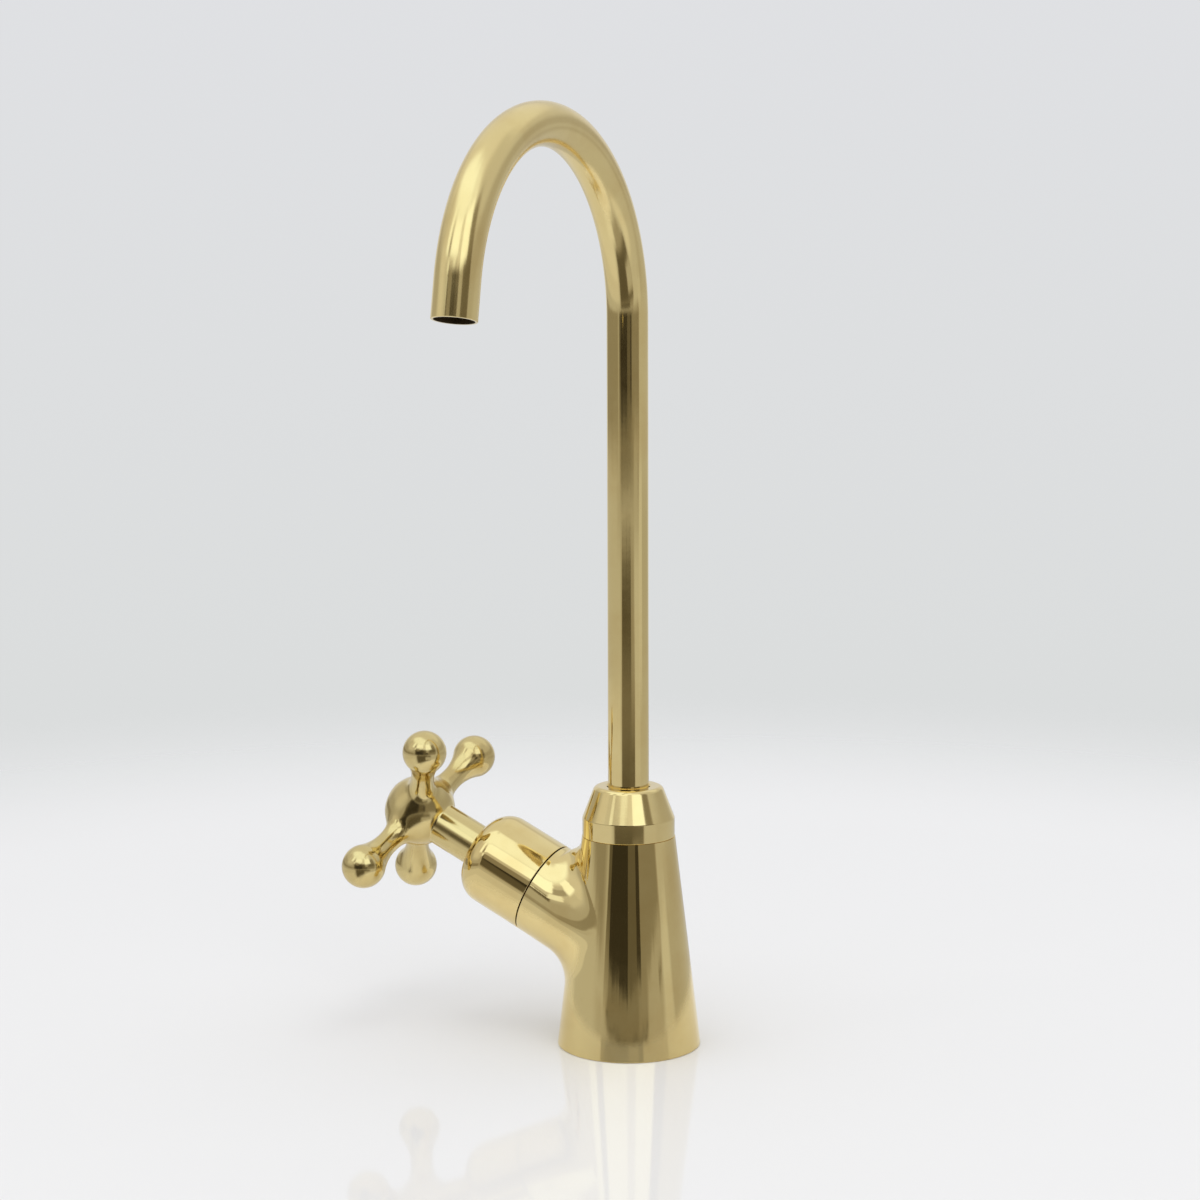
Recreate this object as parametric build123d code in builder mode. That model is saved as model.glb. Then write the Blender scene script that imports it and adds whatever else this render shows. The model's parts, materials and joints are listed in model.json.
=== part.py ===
"""Cold water tap in polished brass: a conical body, a swan-neck spout that swivels in it, and a slanted
quarter-turn valve worked by a cross handle with four balls.

Millimetres. The origin is the centre of the base on the worktop and +Z is up. The spout reaches towards -Y,
and the valve leans out of the body towards -X.
"""

import os
from math import asin, atan2, cos, degrees, radians, sin, sqrt, tan

from build123d import *

# Clearances
running_gap = 0.05  # radial, a turning piece in its bore
seat_gap = 0.1  # along the axis, between pieces that turn on each other
thread_gap = 0.05  # radial, between the plain cylinders that stand for a thread
fit_gap = 0.05  # radial, a brazed or pushed-in piece in its socket
free_gap = 0.3  # radial, a turning piece that touches nothing

# Body
base_diameter = 53.0
body_height = 78.2
body_top_diameter = 34.3
body_edge_round = 0.5
valve_axis_height = 38.1  # where the valve's axis meets the body's
valve_tilt = 25.5  # degrees above the worktop
branch_diameter = 35.5
branch_length = 38.6  # from the body's axis to the branch's face
branch_blend = 10.0  # radius between branch and cone
blend_spare = 14.0  # how far cone and branch run on while the blend is made
branch_turned_length = 4.0  # turned back to the branch's diameter, behind its face
branch_turned_round = 2.5

# Underside
recess_diameter = 40.0
recess_depth = 20.0
boss_diameter = 28.0
inlet_drill_diameter = 9.0  # tapping size of M10 x 1
inlet_thread_depth = 14.0
inlet_offset = 7.0
inlet_passage_diameter = 7.6
stud_drill_diameter = 6.8  # tapping size of M8
stud_thread_depth = 18.0
stud_offset = 7.5
base_seal_diameter = 45.0  # middle of the ring
base_seal_width = 2.4
base_seal_thickness = 2.0

# Spout tube
tube_diameter = 15.0
tube_wall = 1.0
riser_height = 189.1  # from the top of the body to the start of the arch
arch_radius = 63.8
arch_angle = 169.3
mouth_length = 12.7  # straight tube after the arch

# Spout socket in the body, and the ferrule that turns in it
spigot_diameter = 26.8
spigot_height = 8.0
ferrule_diameter = 19.1
ferrule_bore = 12.6
ferrule_foot_length = 19.5  # below the flange
flange_diameter = 23.0
flange_thickness = 2.4
ferrule_cup_length = 7.9  # above the flange
ferrule_cup_diameter = 18.4
tube_engagement = 18.0  # tube inside the ferrule
slip_ring_thickness = 1.2
socket_chamber_diameter = 17.0
socket_chamber_foot = 1.0  # left under the outlet port
outlet_port_diameter = 7.0
outlet_port_roof = 0.5  # between the port and the ferrule's foot
spout_ring_count = 2

# Collar
collar_height = 18.6
collar_band_height = 7.0
collar_diameter = 33.9
collar_top_diameter = 24.9
collar_edge_round = 2.0
collar_hole_diameter = 17.0
collar_lip_thickness = 3.0
collar_chamfer = 0.5

# O-rings
spout_ring_section = 1.8
spout_ring_pitch = 5.5
spout_ring_start = 3.6  # from the ferrule's foot to the middle of the lower ring
spindle_ring_section = 1.5
spindle_ring_pitch = 5.0
spindle_ring_start = 5.0  # from the top of the stop pocket to the middle of the inner ring
ring_squeeze = 0.12  # share of the section that the groove takes up
ring_corner = 0.3  # share of the section, at each corner of the squeezed ring

# Valve seat and ceramic discs, from the body's axis along the valve's
seat_distance = 16.0
seat_port_diameter = 9.0
chamber_diameter = 20.4
seat_seal_bore = 9.6
seat_seal_thickness = 2.6
disc_diameter = 14.7
fixed_disc_thickness = 3.4
moving_disc_thickness = 3.0
port_inner_radius = 2.4
port_outer_radius = 5.9
port_angle = 78.0
opening_angle = 90.0  # the quarter turn
disc_ear_width = 3.0
disc_ear_reach = 1.2
disc_ear_angle = 45.0  # between two windows of the skirt

# Headwork housing
skirt_foot_gap = 0.5  # between the skirt and the seat
thread_diameter = 20.9  # G 1/2
thread_engagement = 9.5
skirt_diameter = 17.8
skirt_wall = 1.5
window_count = 4
window_angle = 50.0
washer_thickness = 1.5
washer_diameter = 26.4
hexagon_across_flats = 24.0
hexagon_height = 6.0
shroud_thread_diameter = 22.0
shroud_thread_length = 11.3
stop_pocket_depth = 1.6

# Spindle
spindle_diameter = 10.0
drive_flange_thickness = 1.2
tang_width = 3.2
tang_length = 11.0
tang_depth = 1.3
tang_gap = 0.1
stop_lug_angle = 80.0
stop_play = 1.0  # degrees left at each end of the quarter turn
thrust_washer_thickness = 0.8
thrust_washer_diameter = 15.0
circlip_thickness = 1.0
circlip_diameter = 13.2
circlip_groove_depth = 0.7
circlip_opening = 70.0
spindle_plain_length = 34.0  # from the top of the housing to the spline
spline_length = 12.0
spline_diameter = 8.0
spline_depth = 0.4
spline_teeth = 20

# Shroud
shroud_diameter = 35.5
shroud_gap = 0.5  # between the branch's face and the shroud's rim
shroud_length = 29.8
shroud_shoulder = 9.5
shroud_wall = 1.9
shroud_front_wall = 2.5
shroud_web_thickness = 6.0
shroud_web_start = 10.0  # from the rim to the threaded web
neck_opening_gap = 0.55

# Cross handle
handle_distance = 97.3  # from the body's axis to the middle of the cross
handle_turn = 58.0  # degrees, first arm from the horizontal
arm_count = 4
hub_diameter = 26.7
ball_circle_radius = 34.5
ball_diameter = 16.4
arm_waist_diameter = 8.6
arm_waist_radius = 20.0  # from the handle's axis to the arm's narrowest place
neck_diameter = 16.0
neck_bore = 11.2
neck_engagement = 6.4  # neck inside the shroud
screw_web = 3.5
cap_diameter = 9.0
cap_rim_depth = 1.1
cap_peg_diameter = 7.9
cap_peg_length = 4.0

# Handle screw, M4 x 12
screw_diameter = 4.0
screw_length = 12.0
screw_head_diameter = 7.0
screw_head_height = 2.8
screw_socket_across_flats = 3.0
screw_socket_depth = 1.6
screw_hole_spare = 2.0  # depth of the tapped hole past the screw's tip

# Valve frame: distances run out from the body's axis
tilt = radians(valve_tilt)
valve_direction = Vector(-cos(tilt), 0, sin(tilt))
valve_up = Vector(sin(tilt), 0, cos(tilt))
valve_origin = Vector(0, 0, valve_axis_height)
valve_axis = Axis(valve_origin, valve_direction)
valve_plane = Plane(origin=valve_origin, x_dir=(0, -1, 0), z_dir=valve_direction)
valve_section = Plane(origin=valve_origin, x_dir=valve_up, z_dir=(0, -1, 0))

# Heights of the spout socket
spigot_top = body_height + spigot_height
collar_top = body_height + collar_height
slip_seat = spigot_top - 2 * slip_ring_thickness - flange_thickness
flange_bottom = slip_seat + slip_ring_thickness + seat_gap
flange_top = flange_bottom + flange_thickness
upper_slip_ring = flange_top + seat_gap
collar_shoulder = upper_slip_ring + slip_ring_thickness + seat_gap
ferrule_foot = flange_bottom - ferrule_foot_length
cup_top = flange_top + ferrule_cup_length
tube_foot = cup_top - tube_engagement
arch_start = body_height + riser_height
socket_bore = ferrule_diameter + 2 * running_gap
outlet_height = ferrule_foot - outlet_port_roof - outlet_port_diameter / 2
chamber_floor = outlet_height - outlet_port_diameter / 2 - socket_chamber_foot

# Places along the valve axis
fixed_disc_start = seat_distance + seat_seal_thickness
moving_disc_start = fixed_disc_start + fixed_disc_thickness + running_gap
drive_flange_start = moving_disc_start + moving_disc_thickness + seat_gap
stop_pocket_start = drive_flange_start + drive_flange_thickness + seat_gap
stop_pocket_end = stop_pocket_start + stop_pocket_depth
skirt_start = seat_distance + skirt_foot_gap
thread_start = branch_length - thread_engagement
hexagon_start = branch_length + washer_thickness
hexagon_end = hexagon_start + hexagon_height
housing_end = hexagon_end + shroud_thread_length
circlip_start = housing_end + thrust_washer_thickness + seat_gap
spline_start = housing_end + spindle_plain_length - spline_length
spindle_end = spline_start + spline_length
shroud_start = branch_length + shroud_gap
shroud_end = shroud_start + shroud_length
neck_start = shroud_end - neck_engagement
screw_seat = spindle_end + seat_gap + screw_web

# Radii that several pieces share
base_radius = base_diameter / 2
branch_radius = branch_diameter / 2
tube_radius = tube_diameter / 2
skirt_bore_radius = skirt_diameter / 2 - skirt_wall
moving_radius = skirt_bore_radius - free_gap
spindle_radius = spindle_diameter / 2
spindle_bore_radius = spindle_radius + running_gap
hub_radius = hub_diameter / 2
ball_radius = ball_diameter / 2
hub_centre = valve_origin + valve_direction * handle_distance


def turn(plane, diameter, start, end, mode=Mode.ADD):
    """A cylinder between two distances from a plane, as a lathe would leave it."""
    with BuildSketch(plane.offset(start)) as disc:
        Circle(diameter / 2)
    extrude(disc.sketch, amount=end - start, mode=mode)


def sector(inner_radius, outer_radius, middle, angle, mode=Mode.ADD):
    """A piece of a flat ring, with its middle at an angle from the sketch's X."""
    with BuildLine() as outline:
        inner = CenterArc((0, 0), inner_radius, middle - angle / 2, angle)
        outer = CenterArc((0, 0), outer_radius, middle - angle / 2, angle)
        Line(inner @ 0, outer @ 0)
        Line(inner @ 1, outer @ 1)
    make_face(outline.edges(), mode=mode)


def spline_outline(growth):
    """The toothed outline of the spindle's end, grown by a clearance for the bore it fits."""
    crest = spline_diameter / 2 + growth
    corners = []
    for step in range(2 * spline_teeth):
        radius = crest - spline_depth * (step % 2)
        angle = radians(180 / spline_teeth * step)
        corners.append((radius * cos(angle), radius * sin(angle)))
    Polygon(*corners, align=None)


def ring_groove_diameter(bore_diameter, section):
    """The bottom of an O-ring groove whose ring is squeezed against the bore."""
    return bore_diameter - 2 * section * (1 - ring_squeeze)


def o_ring(plane, bore_diameter, section, middle):
    """An O-ring as it lies squeezed between its groove and the bore."""
    inner = ring_groove_diameter(bore_diameter, section) / 2
    outer = bore_diameter / 2 - running_gap / 2
    with BuildPart() as ring:
        with BuildSketch(plane.offset(middle)):
            Circle(outer)
            Circle(inner, mode=Mode.SUBTRACT)
        extrude(amount=section / 2, both=True)
        chamfer(ring.edges().filter_by(GeomType.CIRCLE), length=section * ring_corner)
    return ring


# The conical body with its branch
with BuildPart() as body:
    # Both run on past their faces while the blend is made, and are then cut back
    with BuildSketch(Plane.XZ):
        cone_top = body_height + blend_spare
        top_radius = base_radius + (body_top_diameter / 2 - base_radius) * cone_top / body_height
        Polygon((0, 0), (base_radius, 0), (top_radius, cone_top), (0, cone_top), align=None)
    revolve(axis=Axis.Z)
    fillet(body.edges().group_by(Axis.Z)[0], radius=body_edge_round)
    turn(valve_plane, branch_diameter, 0, branch_length + blend_spare)
    seam = body.edges().filter_by(GeomType.CIRCLE, reverse=True).filter_by(GeomType.LINE, reverse=True)
    fillet(seam, radius=branch_blend)
    split(bisect_by=Plane.XY.offset(body_height), keep=Keep.BOTTOM)
    split(bisect_by=valve_plane.offset(branch_length), keep=Keep.BOTTOM)
    with BuildSketch(valve_section) as turned_back:
        turned_start = branch_length - branch_turned_length
        turned_end = branch_length + free_gap
        turned_outer = branch_radius + blend_spare
        inner_side = ((branch_radius, turned_end), (branch_radius, turned_start))
        Polygon(*inner_side, (turned_outer, turned_start), (turned_outer, turned_end), align=None)
        root = turned_back.vertices().group_by(Axis.Y)[0].sort_by(Axis.X)[0]
        fillet(root, radius=branch_turned_round)
    revolve(axis=valve_axis, mode=Mode.SUBTRACT)
    turn(Plane.XY, spigot_diameter, body_height, spigot_top)

    # Spout socket, the chamber below it and the port from the valve
    turn(Plane.XY, flange_diameter + 2 * free_gap, slip_seat, spigot_top, Mode.SUBTRACT)
    turn(Plane.XY, socket_bore, ferrule_foot, slip_seat, Mode.SUBTRACT)
    turn(Plane.XY, socket_chamber_diameter, chamber_floor, ferrule_foot, Mode.SUBTRACT)
    port_plane = Plane(origin=(0, 0, outlet_height), x_dir=(0, 1, 0), z_dir=(-1, 0, 0))
    port_rise = outlet_height - valve_axis_height
    port_reach = (port_rise * cos(tilt) - chamber_diameter / 2) / sin(tilt) + outlet_port_diameter / 2
    turn(port_plane, outlet_port_diameter, 0, port_reach, Mode.SUBTRACT)

    # Valve bore: thread, chamber and the port behind the seat
    turn(valve_plane, thread_diameter + 2 * thread_gap, thread_start, branch_length, Mode.SUBTRACT)
    turn(valve_plane, chamber_diameter, seat_distance, thread_start, Mode.SUBTRACT)
    seat_port_end = -inlet_offset / cos(tilt) - seat_port_diameter / 2
    turn(valve_plane, seat_port_diameter, seat_port_end, seat_distance, Mode.SUBTRACT)

    # Underside: recess round a boss, the inlet and the stud hole, and the seal's groove
    with BuildSketch(Plane.XY):
        Circle(recess_diameter / 2)
        Circle(boss_diameter / 2, mode=Mode.SUBTRACT)
    extrude(amount=recess_depth, mode=Mode.SUBTRACT)
    inlet_plane = Plane(origin=(inlet_offset, 0, 0))
    stud_plane = Plane(origin=(-stud_offset, 0, 0))
    inlet_top = valve_axis_height - inlet_offset * tan(tilt)
    turn(inlet_plane, inlet_drill_diameter, 0, inlet_thread_depth, Mode.SUBTRACT)
    turn(inlet_plane, inlet_passage_diameter, inlet_thread_depth, inlet_top, Mode.SUBTRACT)
    turn(stud_plane, stud_drill_diameter, 0, stud_thread_depth, Mode.SUBTRACT)
    with BuildSketch(Plane.XY):
        Circle((base_seal_diameter + base_seal_width) / 2)
        Circle((base_seal_diameter - base_seal_width) / 2, mode=Mode.SUBTRACT)
    extrude(amount=base_seal_thickness, mode=Mode.SUBTRACT)
body.part.label = "body"

# Rubber ring in the underside, flush with the base
with BuildPart() as base_seal:
    with BuildSketch(Plane.XY):
        Circle((base_seal_diameter + base_seal_width) / 2 - fit_gap)
        Circle((base_seal_diameter - base_seal_width) / 2 + fit_gap, mode=Mode.SUBTRACT)
    extrude(amount=base_seal_thickness)
base_seal.part.label = "base_seal"

# Collar, screwed over the spigot to hold the spout down
with BuildPart() as spout_collar:
    with BuildSketch(Plane.XZ):
        with BuildLine():
            band_top = body_height + collar_band_height
            Polyline(
                (0, body_height),
                (collar_diameter / 2, body_height),
                (collar_diameter / 2, band_top),
                (collar_top_diameter / 2, collar_top),
                (0, collar_top),
                close=True,
            )
        make_face()
    revolve(axis=Axis.Z)
    fillet(spout_collar.edges().group_by(Axis.Z)[-1], radius=collar_edge_round)
    turn(Plane.XY, collar_hole_diameter, body_height, collar_top, Mode.SUBTRACT)
    chamfer(spout_collar.edges().group_by(Axis.Z)[-1].sort_by(SortBy.RADIUS)[0], length=collar_chamfer)
    turn(Plane.XY, spigot_diameter + 2 * thread_gap, body_height, spigot_top + free_gap, Mode.SUBTRACT)
    turn(Plane.XY, flange_diameter + 2 * free_gap, spigot_top, collar_shoulder, Mode.SUBTRACT)
    cup_clearance = ferrule_cup_diameter + 2 * free_gap
    turn(Plane.XY, cup_clearance, collar_shoulder, collar_top - collar_lip_thickness, Mode.SUBTRACT)
spout_collar.part.label = "spout_collar"

# Ferrule brazed to the foot of the spout tube, with a flange held under the collar
with BuildPart() as spout_ferrule:
    turn(Plane.XY, ferrule_diameter, ferrule_foot, flange_bottom)
    turn(Plane.XY, flange_diameter, flange_bottom, flange_top)
    turn(Plane.XY, ferrule_cup_diameter, flange_top, cup_top)
    turn(Plane.XY, ferrule_bore, ferrule_foot, tube_foot, Mode.SUBTRACT)
    turn(Plane.XY, tube_diameter + 2 * fit_gap, tube_foot, cup_top, Mode.SUBTRACT)
    for ring in range(spout_ring_count):
        groove_middle = ferrule_foot + spout_ring_start + ring * spout_ring_pitch
        with BuildSketch(Plane.XY.offset(groove_middle)):
            Circle(ferrule_diameter / 2 + free_gap)
            Circle(ring_groove_diameter(socket_bore, spout_ring_section) / 2, mode=Mode.SUBTRACT)
        extrude(amount=spout_ring_section / 2 + fit_gap, both=True, mode=Mode.SUBTRACT)
spout_ferrule.part.label = "spout_ferrule"

# Swan-neck tube: riser, arch and a short straight to the square-cut mouth
with BuildPart() as spout_tube:
    with BuildLine(Plane.YZ) as spout_path:
        riser = Line((0, tube_foot), (0, arch_start))
        arch = CenterArc((-arch_radius, arch_start), arch_radius, 0, arch_angle)
        Line(arch @ 1, arch @ 1 + (arch % 1) * mouth_length)
    with BuildSketch(Plane.XY.offset(tube_foot)):
        Circle(tube_radius)
        Circle(tube_radius - tube_wall, mode=Mode.SUBTRACT)
    sweep(path=spout_path.line)
spout_tube.part.label = "spout_tube"

spout_o_rings = []
for name, place in (("spout_o_ring_lower", 0), ("spout_o_ring_upper", 1)):
    ring_middle = ferrule_foot + spout_ring_start + place * spout_ring_pitch
    ring = o_ring(Plane.XY, socket_bore, spout_ring_section, ring_middle)
    ring.part.label = name
    spout_o_rings.append(ring)

# Low-friction rings under and over the ferrule's flange
slip_rings = []
for name, start, bore in (
    ("spout_slip_ring_lower", slip_seat, ferrule_diameter),
    ("spout_slip_ring_upper", upper_slip_ring, ferrule_cup_diameter),
):
    with BuildPart() as slip_ring:
        with BuildSketch(Plane.XY.offset(start)):
            Circle(flange_diameter / 2)
            Circle(bore / 2 + free_gap, mode=Mode.SUBTRACT)
        extrude(amount=slip_ring_thickness)
    slip_ring.part.label = name
    slip_rings.append(slip_ring)

# Rubber ring that presses the discs together and seals them to the seat
with BuildPart() as seat_seal:
    with BuildSketch(valve_plane.offset(seat_distance)):
        Circle(skirt_bore_radius - fit_gap)
        Circle(seat_seal_bore / 2, mode=Mode.SUBTRACT)
    extrude(amount=seat_seal_thickness)
seat_seal.part.label = "seat_seal"

# Fixed ceramic disc: two ports, and two ears that stop it turning in the skirt
with BuildPart() as fixed_disc:
    with BuildSketch(valve_plane.offset(fixed_disc_start)):
        Circle(disc_diameter / 2)
        Rectangle(disc_diameter + 2 * disc_ear_reach, disc_ear_width, rotation=disc_ear_angle)
        for middle in (0, 180):
            sector(port_inner_radius, port_outer_radius, middle, port_angle, Mode.SUBTRACT)
    extrude(amount=fixed_disc_thickness)
fixed_disc.part.label = "fixed_disc"

# Moving ceramic disc: a bow tie that covers the ports when closed, with a slot for the spindle's tang
with BuildPart() as moving_disc:
    with BuildSketch(valve_plane.offset(moving_disc_start)):
        Circle(moving_radius)
        for middle in (opening_angle, opening_angle + 180):
            sector(port_inner_radius, moving_radius + free_gap, middle, port_angle, Mode.SUBTRACT)
    extrude(amount=moving_disc_thickness)
    moving_disc_end = moving_disc_start + moving_disc_thickness
    with BuildSketch(valve_plane.offset(moving_disc_end)):
        Rectangle(tang_length + 2 * tang_gap, tang_width + 2 * tang_gap)
    extrude(amount=-tang_depth - tang_gap, mode=Mode.SUBTRACT)
moving_disc.part.label = "moving_disc"

# Housing of the headwork, screwed into the branch
with BuildPart() as headwork_housing:
    turn(valve_plane, skirt_diameter, skirt_start, thread_start)
    turn(valve_plane, thread_diameter, thread_start, hexagon_start)
    with BuildSketch(valve_plane.offset(hexagon_start)):
        RegularPolygon(radius=hexagon_across_flats / 2, side_count=6, major_radius=False)
    extrude(amount=hexagon_height)
    turn(valve_plane, shroud_thread_diameter, hexagon_end, housing_end)
    turn(valve_plane, 2 * skirt_bore_radius, skirt_start, stop_pocket_start, Mode.SUBTRACT)
    turn(valve_plane, 2 * spindle_bore_radius, stop_pocket_start, housing_end, Mode.SUBTRACT)

    # Windows beside the moving disc, where the water leaves
    window_start = moving_disc_start + free_gap
    with BuildSketch(valve_plane.offset(window_start)):
        for window in range(window_count):
            sector(moving_radius, skirt_diameter, window * 360 / window_count, window_angle)
    extrude(amount=stop_pocket_start - window_start, mode=Mode.SUBTRACT)

    # Notches for the fixed disc's ears
    with BuildSketch(valve_plane.offset(skirt_start)):
        Rectangle(2 * skirt_diameter, disc_ear_width + 2 * fit_gap, rotation=disc_ear_angle)
    extrude(amount=fixed_disc_start + fixed_disc_thickness - skirt_start, mode=Mode.SUBTRACT)

    # Pocket whose ends stop the spindle's lug a quarter turn apart
    with BuildSketch(valve_plane.offset(stop_pocket_start)):
        pocket_angle = stop_lug_angle + opening_angle + 2 * stop_play
        sector(spindle_radius, skirt_bore_radius, opening_angle / 2, pocket_angle)
    extrude(amount=stop_pocket_depth, mode=Mode.SUBTRACT)
headwork_housing.part.label = "headwork_housing"

# Fibre washer between the housing's hexagon and the branch
with BuildPart() as headwork_washer:
    with BuildSketch(valve_plane.offset(branch_length)):
        Circle(washer_diameter / 2)
        Circle(thread_diameter / 2 + fit_gap, mode=Mode.SUBTRACT)
    extrude(amount=washer_thickness)
headwork_washer.part.label = "headwork_washer"

# Spindle: tang, drive flange with its stop lug, two ring grooves, circlip groove and spline
with BuildPart() as spindle:
    turn(valve_plane, 2 * moving_radius, drive_flange_start, drive_flange_start + drive_flange_thickness)
    with BuildSketch(valve_plane.offset(drive_flange_start)):
        Rectangle(tang_length, tang_width)
    extrude(amount=-tang_depth - seat_gap)
    with BuildSketch(valve_plane.offset(drive_flange_start + drive_flange_thickness)):
        sector(spindle_radius - free_gap, moving_radius, 0, stop_lug_angle)
    extrude(amount=stop_pocket_depth)
    turn(valve_plane, spindle_diameter, drive_flange_start, spline_start)
    with BuildSketch(valve_plane.offset(spline_start)):
        spline_outline(0)
    extrude(amount=spline_length)
    for ring in range(2):
        groove_middle = stop_pocket_end + spindle_ring_start + ring * spindle_ring_pitch
        with BuildSketch(valve_plane.offset(groove_middle)):
            Circle(spindle_diameter)
            groove = ring_groove_diameter(2 * spindle_bore_radius, spindle_ring_section)
            Circle(groove / 2, mode=Mode.SUBTRACT)
        extrude(amount=spindle_ring_section / 2 + fit_gap, both=True, mode=Mode.SUBTRACT)
    with BuildSketch(valve_plane.offset(circlip_start)):
        Circle(spindle_diameter)
        Circle(spindle_radius - circlip_groove_depth, mode=Mode.SUBTRACT)
    extrude(amount=circlip_thickness + 2 * fit_gap, mode=Mode.SUBTRACT)
    tapped_start = screw_seat - screw_length - screw_hole_spare
    turn(valve_plane, screw_diameter + 2 * thread_gap, tapped_start, spindle_end, Mode.SUBTRACT)
spindle.part.label = "spindle"

spindle_o_rings = []
for name, place in (("spindle_o_ring_inner", 0), ("spindle_o_ring_outer", 1)):
    ring_middle = stop_pocket_end + spindle_ring_start + place * spindle_ring_pitch
    ring = o_ring(valve_plane, 2 * spindle_bore_radius, spindle_ring_section, ring_middle)
    ring.part.label = name
    spindle_o_rings.append(ring)

# Slip washer on the end of the housing, under the circlip
with BuildPart() as thrust_washer:
    with BuildSketch(valve_plane.offset(housing_end)):
        Circle(thrust_washer_diameter / 2)
        Circle(spindle_radius + free_gap, mode=Mode.SUBTRACT)
    extrude(amount=thrust_washer_thickness)
thrust_washer.part.label = "thrust_washer"

# Open spring ring that keeps the spindle in the housing
with BuildPart() as circlip:
    with BuildSketch(valve_plane.offset(circlip_start + fit_gap)):
        clip_inner = spindle_radius - circlip_groove_depth + fit_gap
        sector(clip_inner, circlip_diameter / 2, 90, 360 - circlip_opening)
    extrude(amount=circlip_thickness)
circlip.part.label = "circlip"

# Shroud over the headwork, screwed to the housing by its web
with BuildPart() as shroud:
    with BuildSketch(valve_section):
        outer_radius = shroud_diameter / 2
        rim_side = ((0, shroud_start), (outer_radius, shroud_start))
        Polygon(*rim_side, (outer_radius, shroud_end), (0, shroud_end), align=None)
    revolve(axis=valve_axis)
    fillet(shroud.edges().sort_by(valve_axis)[-1], radius=shroud_shoulder)
    with BuildSketch(valve_section) as cavity:
        inner_radius = outer_radius - shroud_wall
        cavity_end = shroud_end - shroud_front_wall
        rim_side = ((0, shroud_start), (inner_radius, shroud_start))
        Polygon(*rim_side, (inner_radius, cavity_end), (0, cavity_end), align=None)
        corner = cavity.vertices().group_by(Axis.Y)[-1].sort_by(Axis.X)[-1]
        chamfer(corner, length=(shroud_shoulder - shroud_wall) / 2)
    revolve(axis=valve_axis, mode=Mode.SUBTRACT)
    web_start = shroud_start + shroud_web_start
    web_end = web_start + shroud_web_thickness
    turn(valve_plane, shroud_diameter - shroud_wall, web_start, web_end)
    turn(valve_plane, shroud_thread_diameter + 2 * thread_gap, web_start, web_end, Mode.SUBTRACT)
    neck_opening = neck_diameter + 2 * neck_opening_gap
    turn(valve_plane, neck_opening, cavity_end, shroud_end, Mode.SUBTRACT)
shroud.part.label = "shroud"

# Cross handle: round hub, four arms that swell into balls, and a hollow neck over the spindle
with BuildPart() as cross_handle:
    with BuildSketch(Plane(origin=hub_centre, x_dir=valve_up, z_dir=(0, -1, 0))):
        with BuildLine():
            meridian = CenterArc((0, 0), hub_radius, -90, 180)
            Line(meridian @ 1, meridian @ 0)
        make_face()
    revolve(axis=valve_axis)

    # Each arm is turned about its own length: flare off the hub, waist, swelling and ball
    waist = arm_waist_diameter / 2
    ball_gap = ball_circle_radius - arm_waist_radius
    flare_radius = (arm_waist_radius**2 + waist**2 - hub_radius**2) / (2 * (hub_radius - waist))
    swell_radius = (ball_gap**2 + waist**2 - ball_radius**2) / (2 * (ball_radius - waist))
    flare_angle = degrees(atan2(waist + flare_radius, arm_waist_radius))
    swell_angle = degrees(atan2(waist + swell_radius, -ball_gap))
    for arm in range(arm_count):
        turned = radians(handle_turn + arm * 360 / arm_count)
        arm_direction = valve_plane.x_dir * cos(turned) + valve_plane.y_dir * sin(turned)
        arm_plane = Plane(origin=hub_centre, x_dir=arm_direction, z_dir=arm_direction.cross(valve_direction))
        with BuildSketch(arm_plane):
            with BuildLine():
                flare_centre = (arm_waist_radius, waist + flare_radius)
                flare = CenterArc(flare_centre, flare_radius, flare_angle + 180, 90 - flare_angle)
                swell_centre = (arm_waist_radius, waist + swell_radius)
                CenterArc(swell_centre, swell_radius, 270, swell_angle - 90)
                ball = CenterArc((ball_circle_radius, 0), ball_radius, swell_angle, -swell_angle)
                Line((0, 0), flare @ 0)
                Line(ball @ 1, (0, 0))
            make_face()
        revolve(axis=Axis(hub_centre, arm_direction))

    turn(valve_plane, neck_diameter, neck_start, handle_distance)
    turn(valve_plane, neck_bore, neck_start, spline_start, Mode.SUBTRACT)
    with BuildSketch(valve_plane.offset(spline_start)):
        spline_outline(fit_gap)
    extrude(amount=spindle_end + seat_gap - spline_start, mode=Mode.SUBTRACT)
    screw_clearance = screw_diameter + 2 * free_gap
    front = handle_distance + hub_radius
    turn(valve_plane, screw_clearance, spindle_end, screw_seat, Mode.SUBTRACT)
    turn(valve_plane, cap_peg_diameter + 2 * fit_gap, screw_seat, front, Mode.SUBTRACT)
    cap_seat = handle_distance + sqrt(hub_radius**2 - (cap_diameter / 2) ** 2) - cap_rim_depth
    turn(valve_plane, cap_diameter + 2 * fit_gap, cap_seat, front, Mode.SUBTRACT)
cross_handle.part.label = "cross_handle"

# Socket-head screw through the hub into the spindle
with BuildPart() as handle_screw:
    turn(valve_plane, screw_diameter, screw_seat - screw_length, screw_seat)
    turn(valve_plane, screw_head_diameter, screw_seat, screw_seat + screw_head_height)
    with BuildSketch(valve_plane.offset(screw_seat + screw_head_height)):
        RegularPolygon(radius=screw_socket_across_flats / 2, side_count=6, major_radius=False)
    extrude(amount=-screw_socket_depth, mode=Mode.SUBTRACT)
handle_screw.part.label = "handle_screw"

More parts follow.
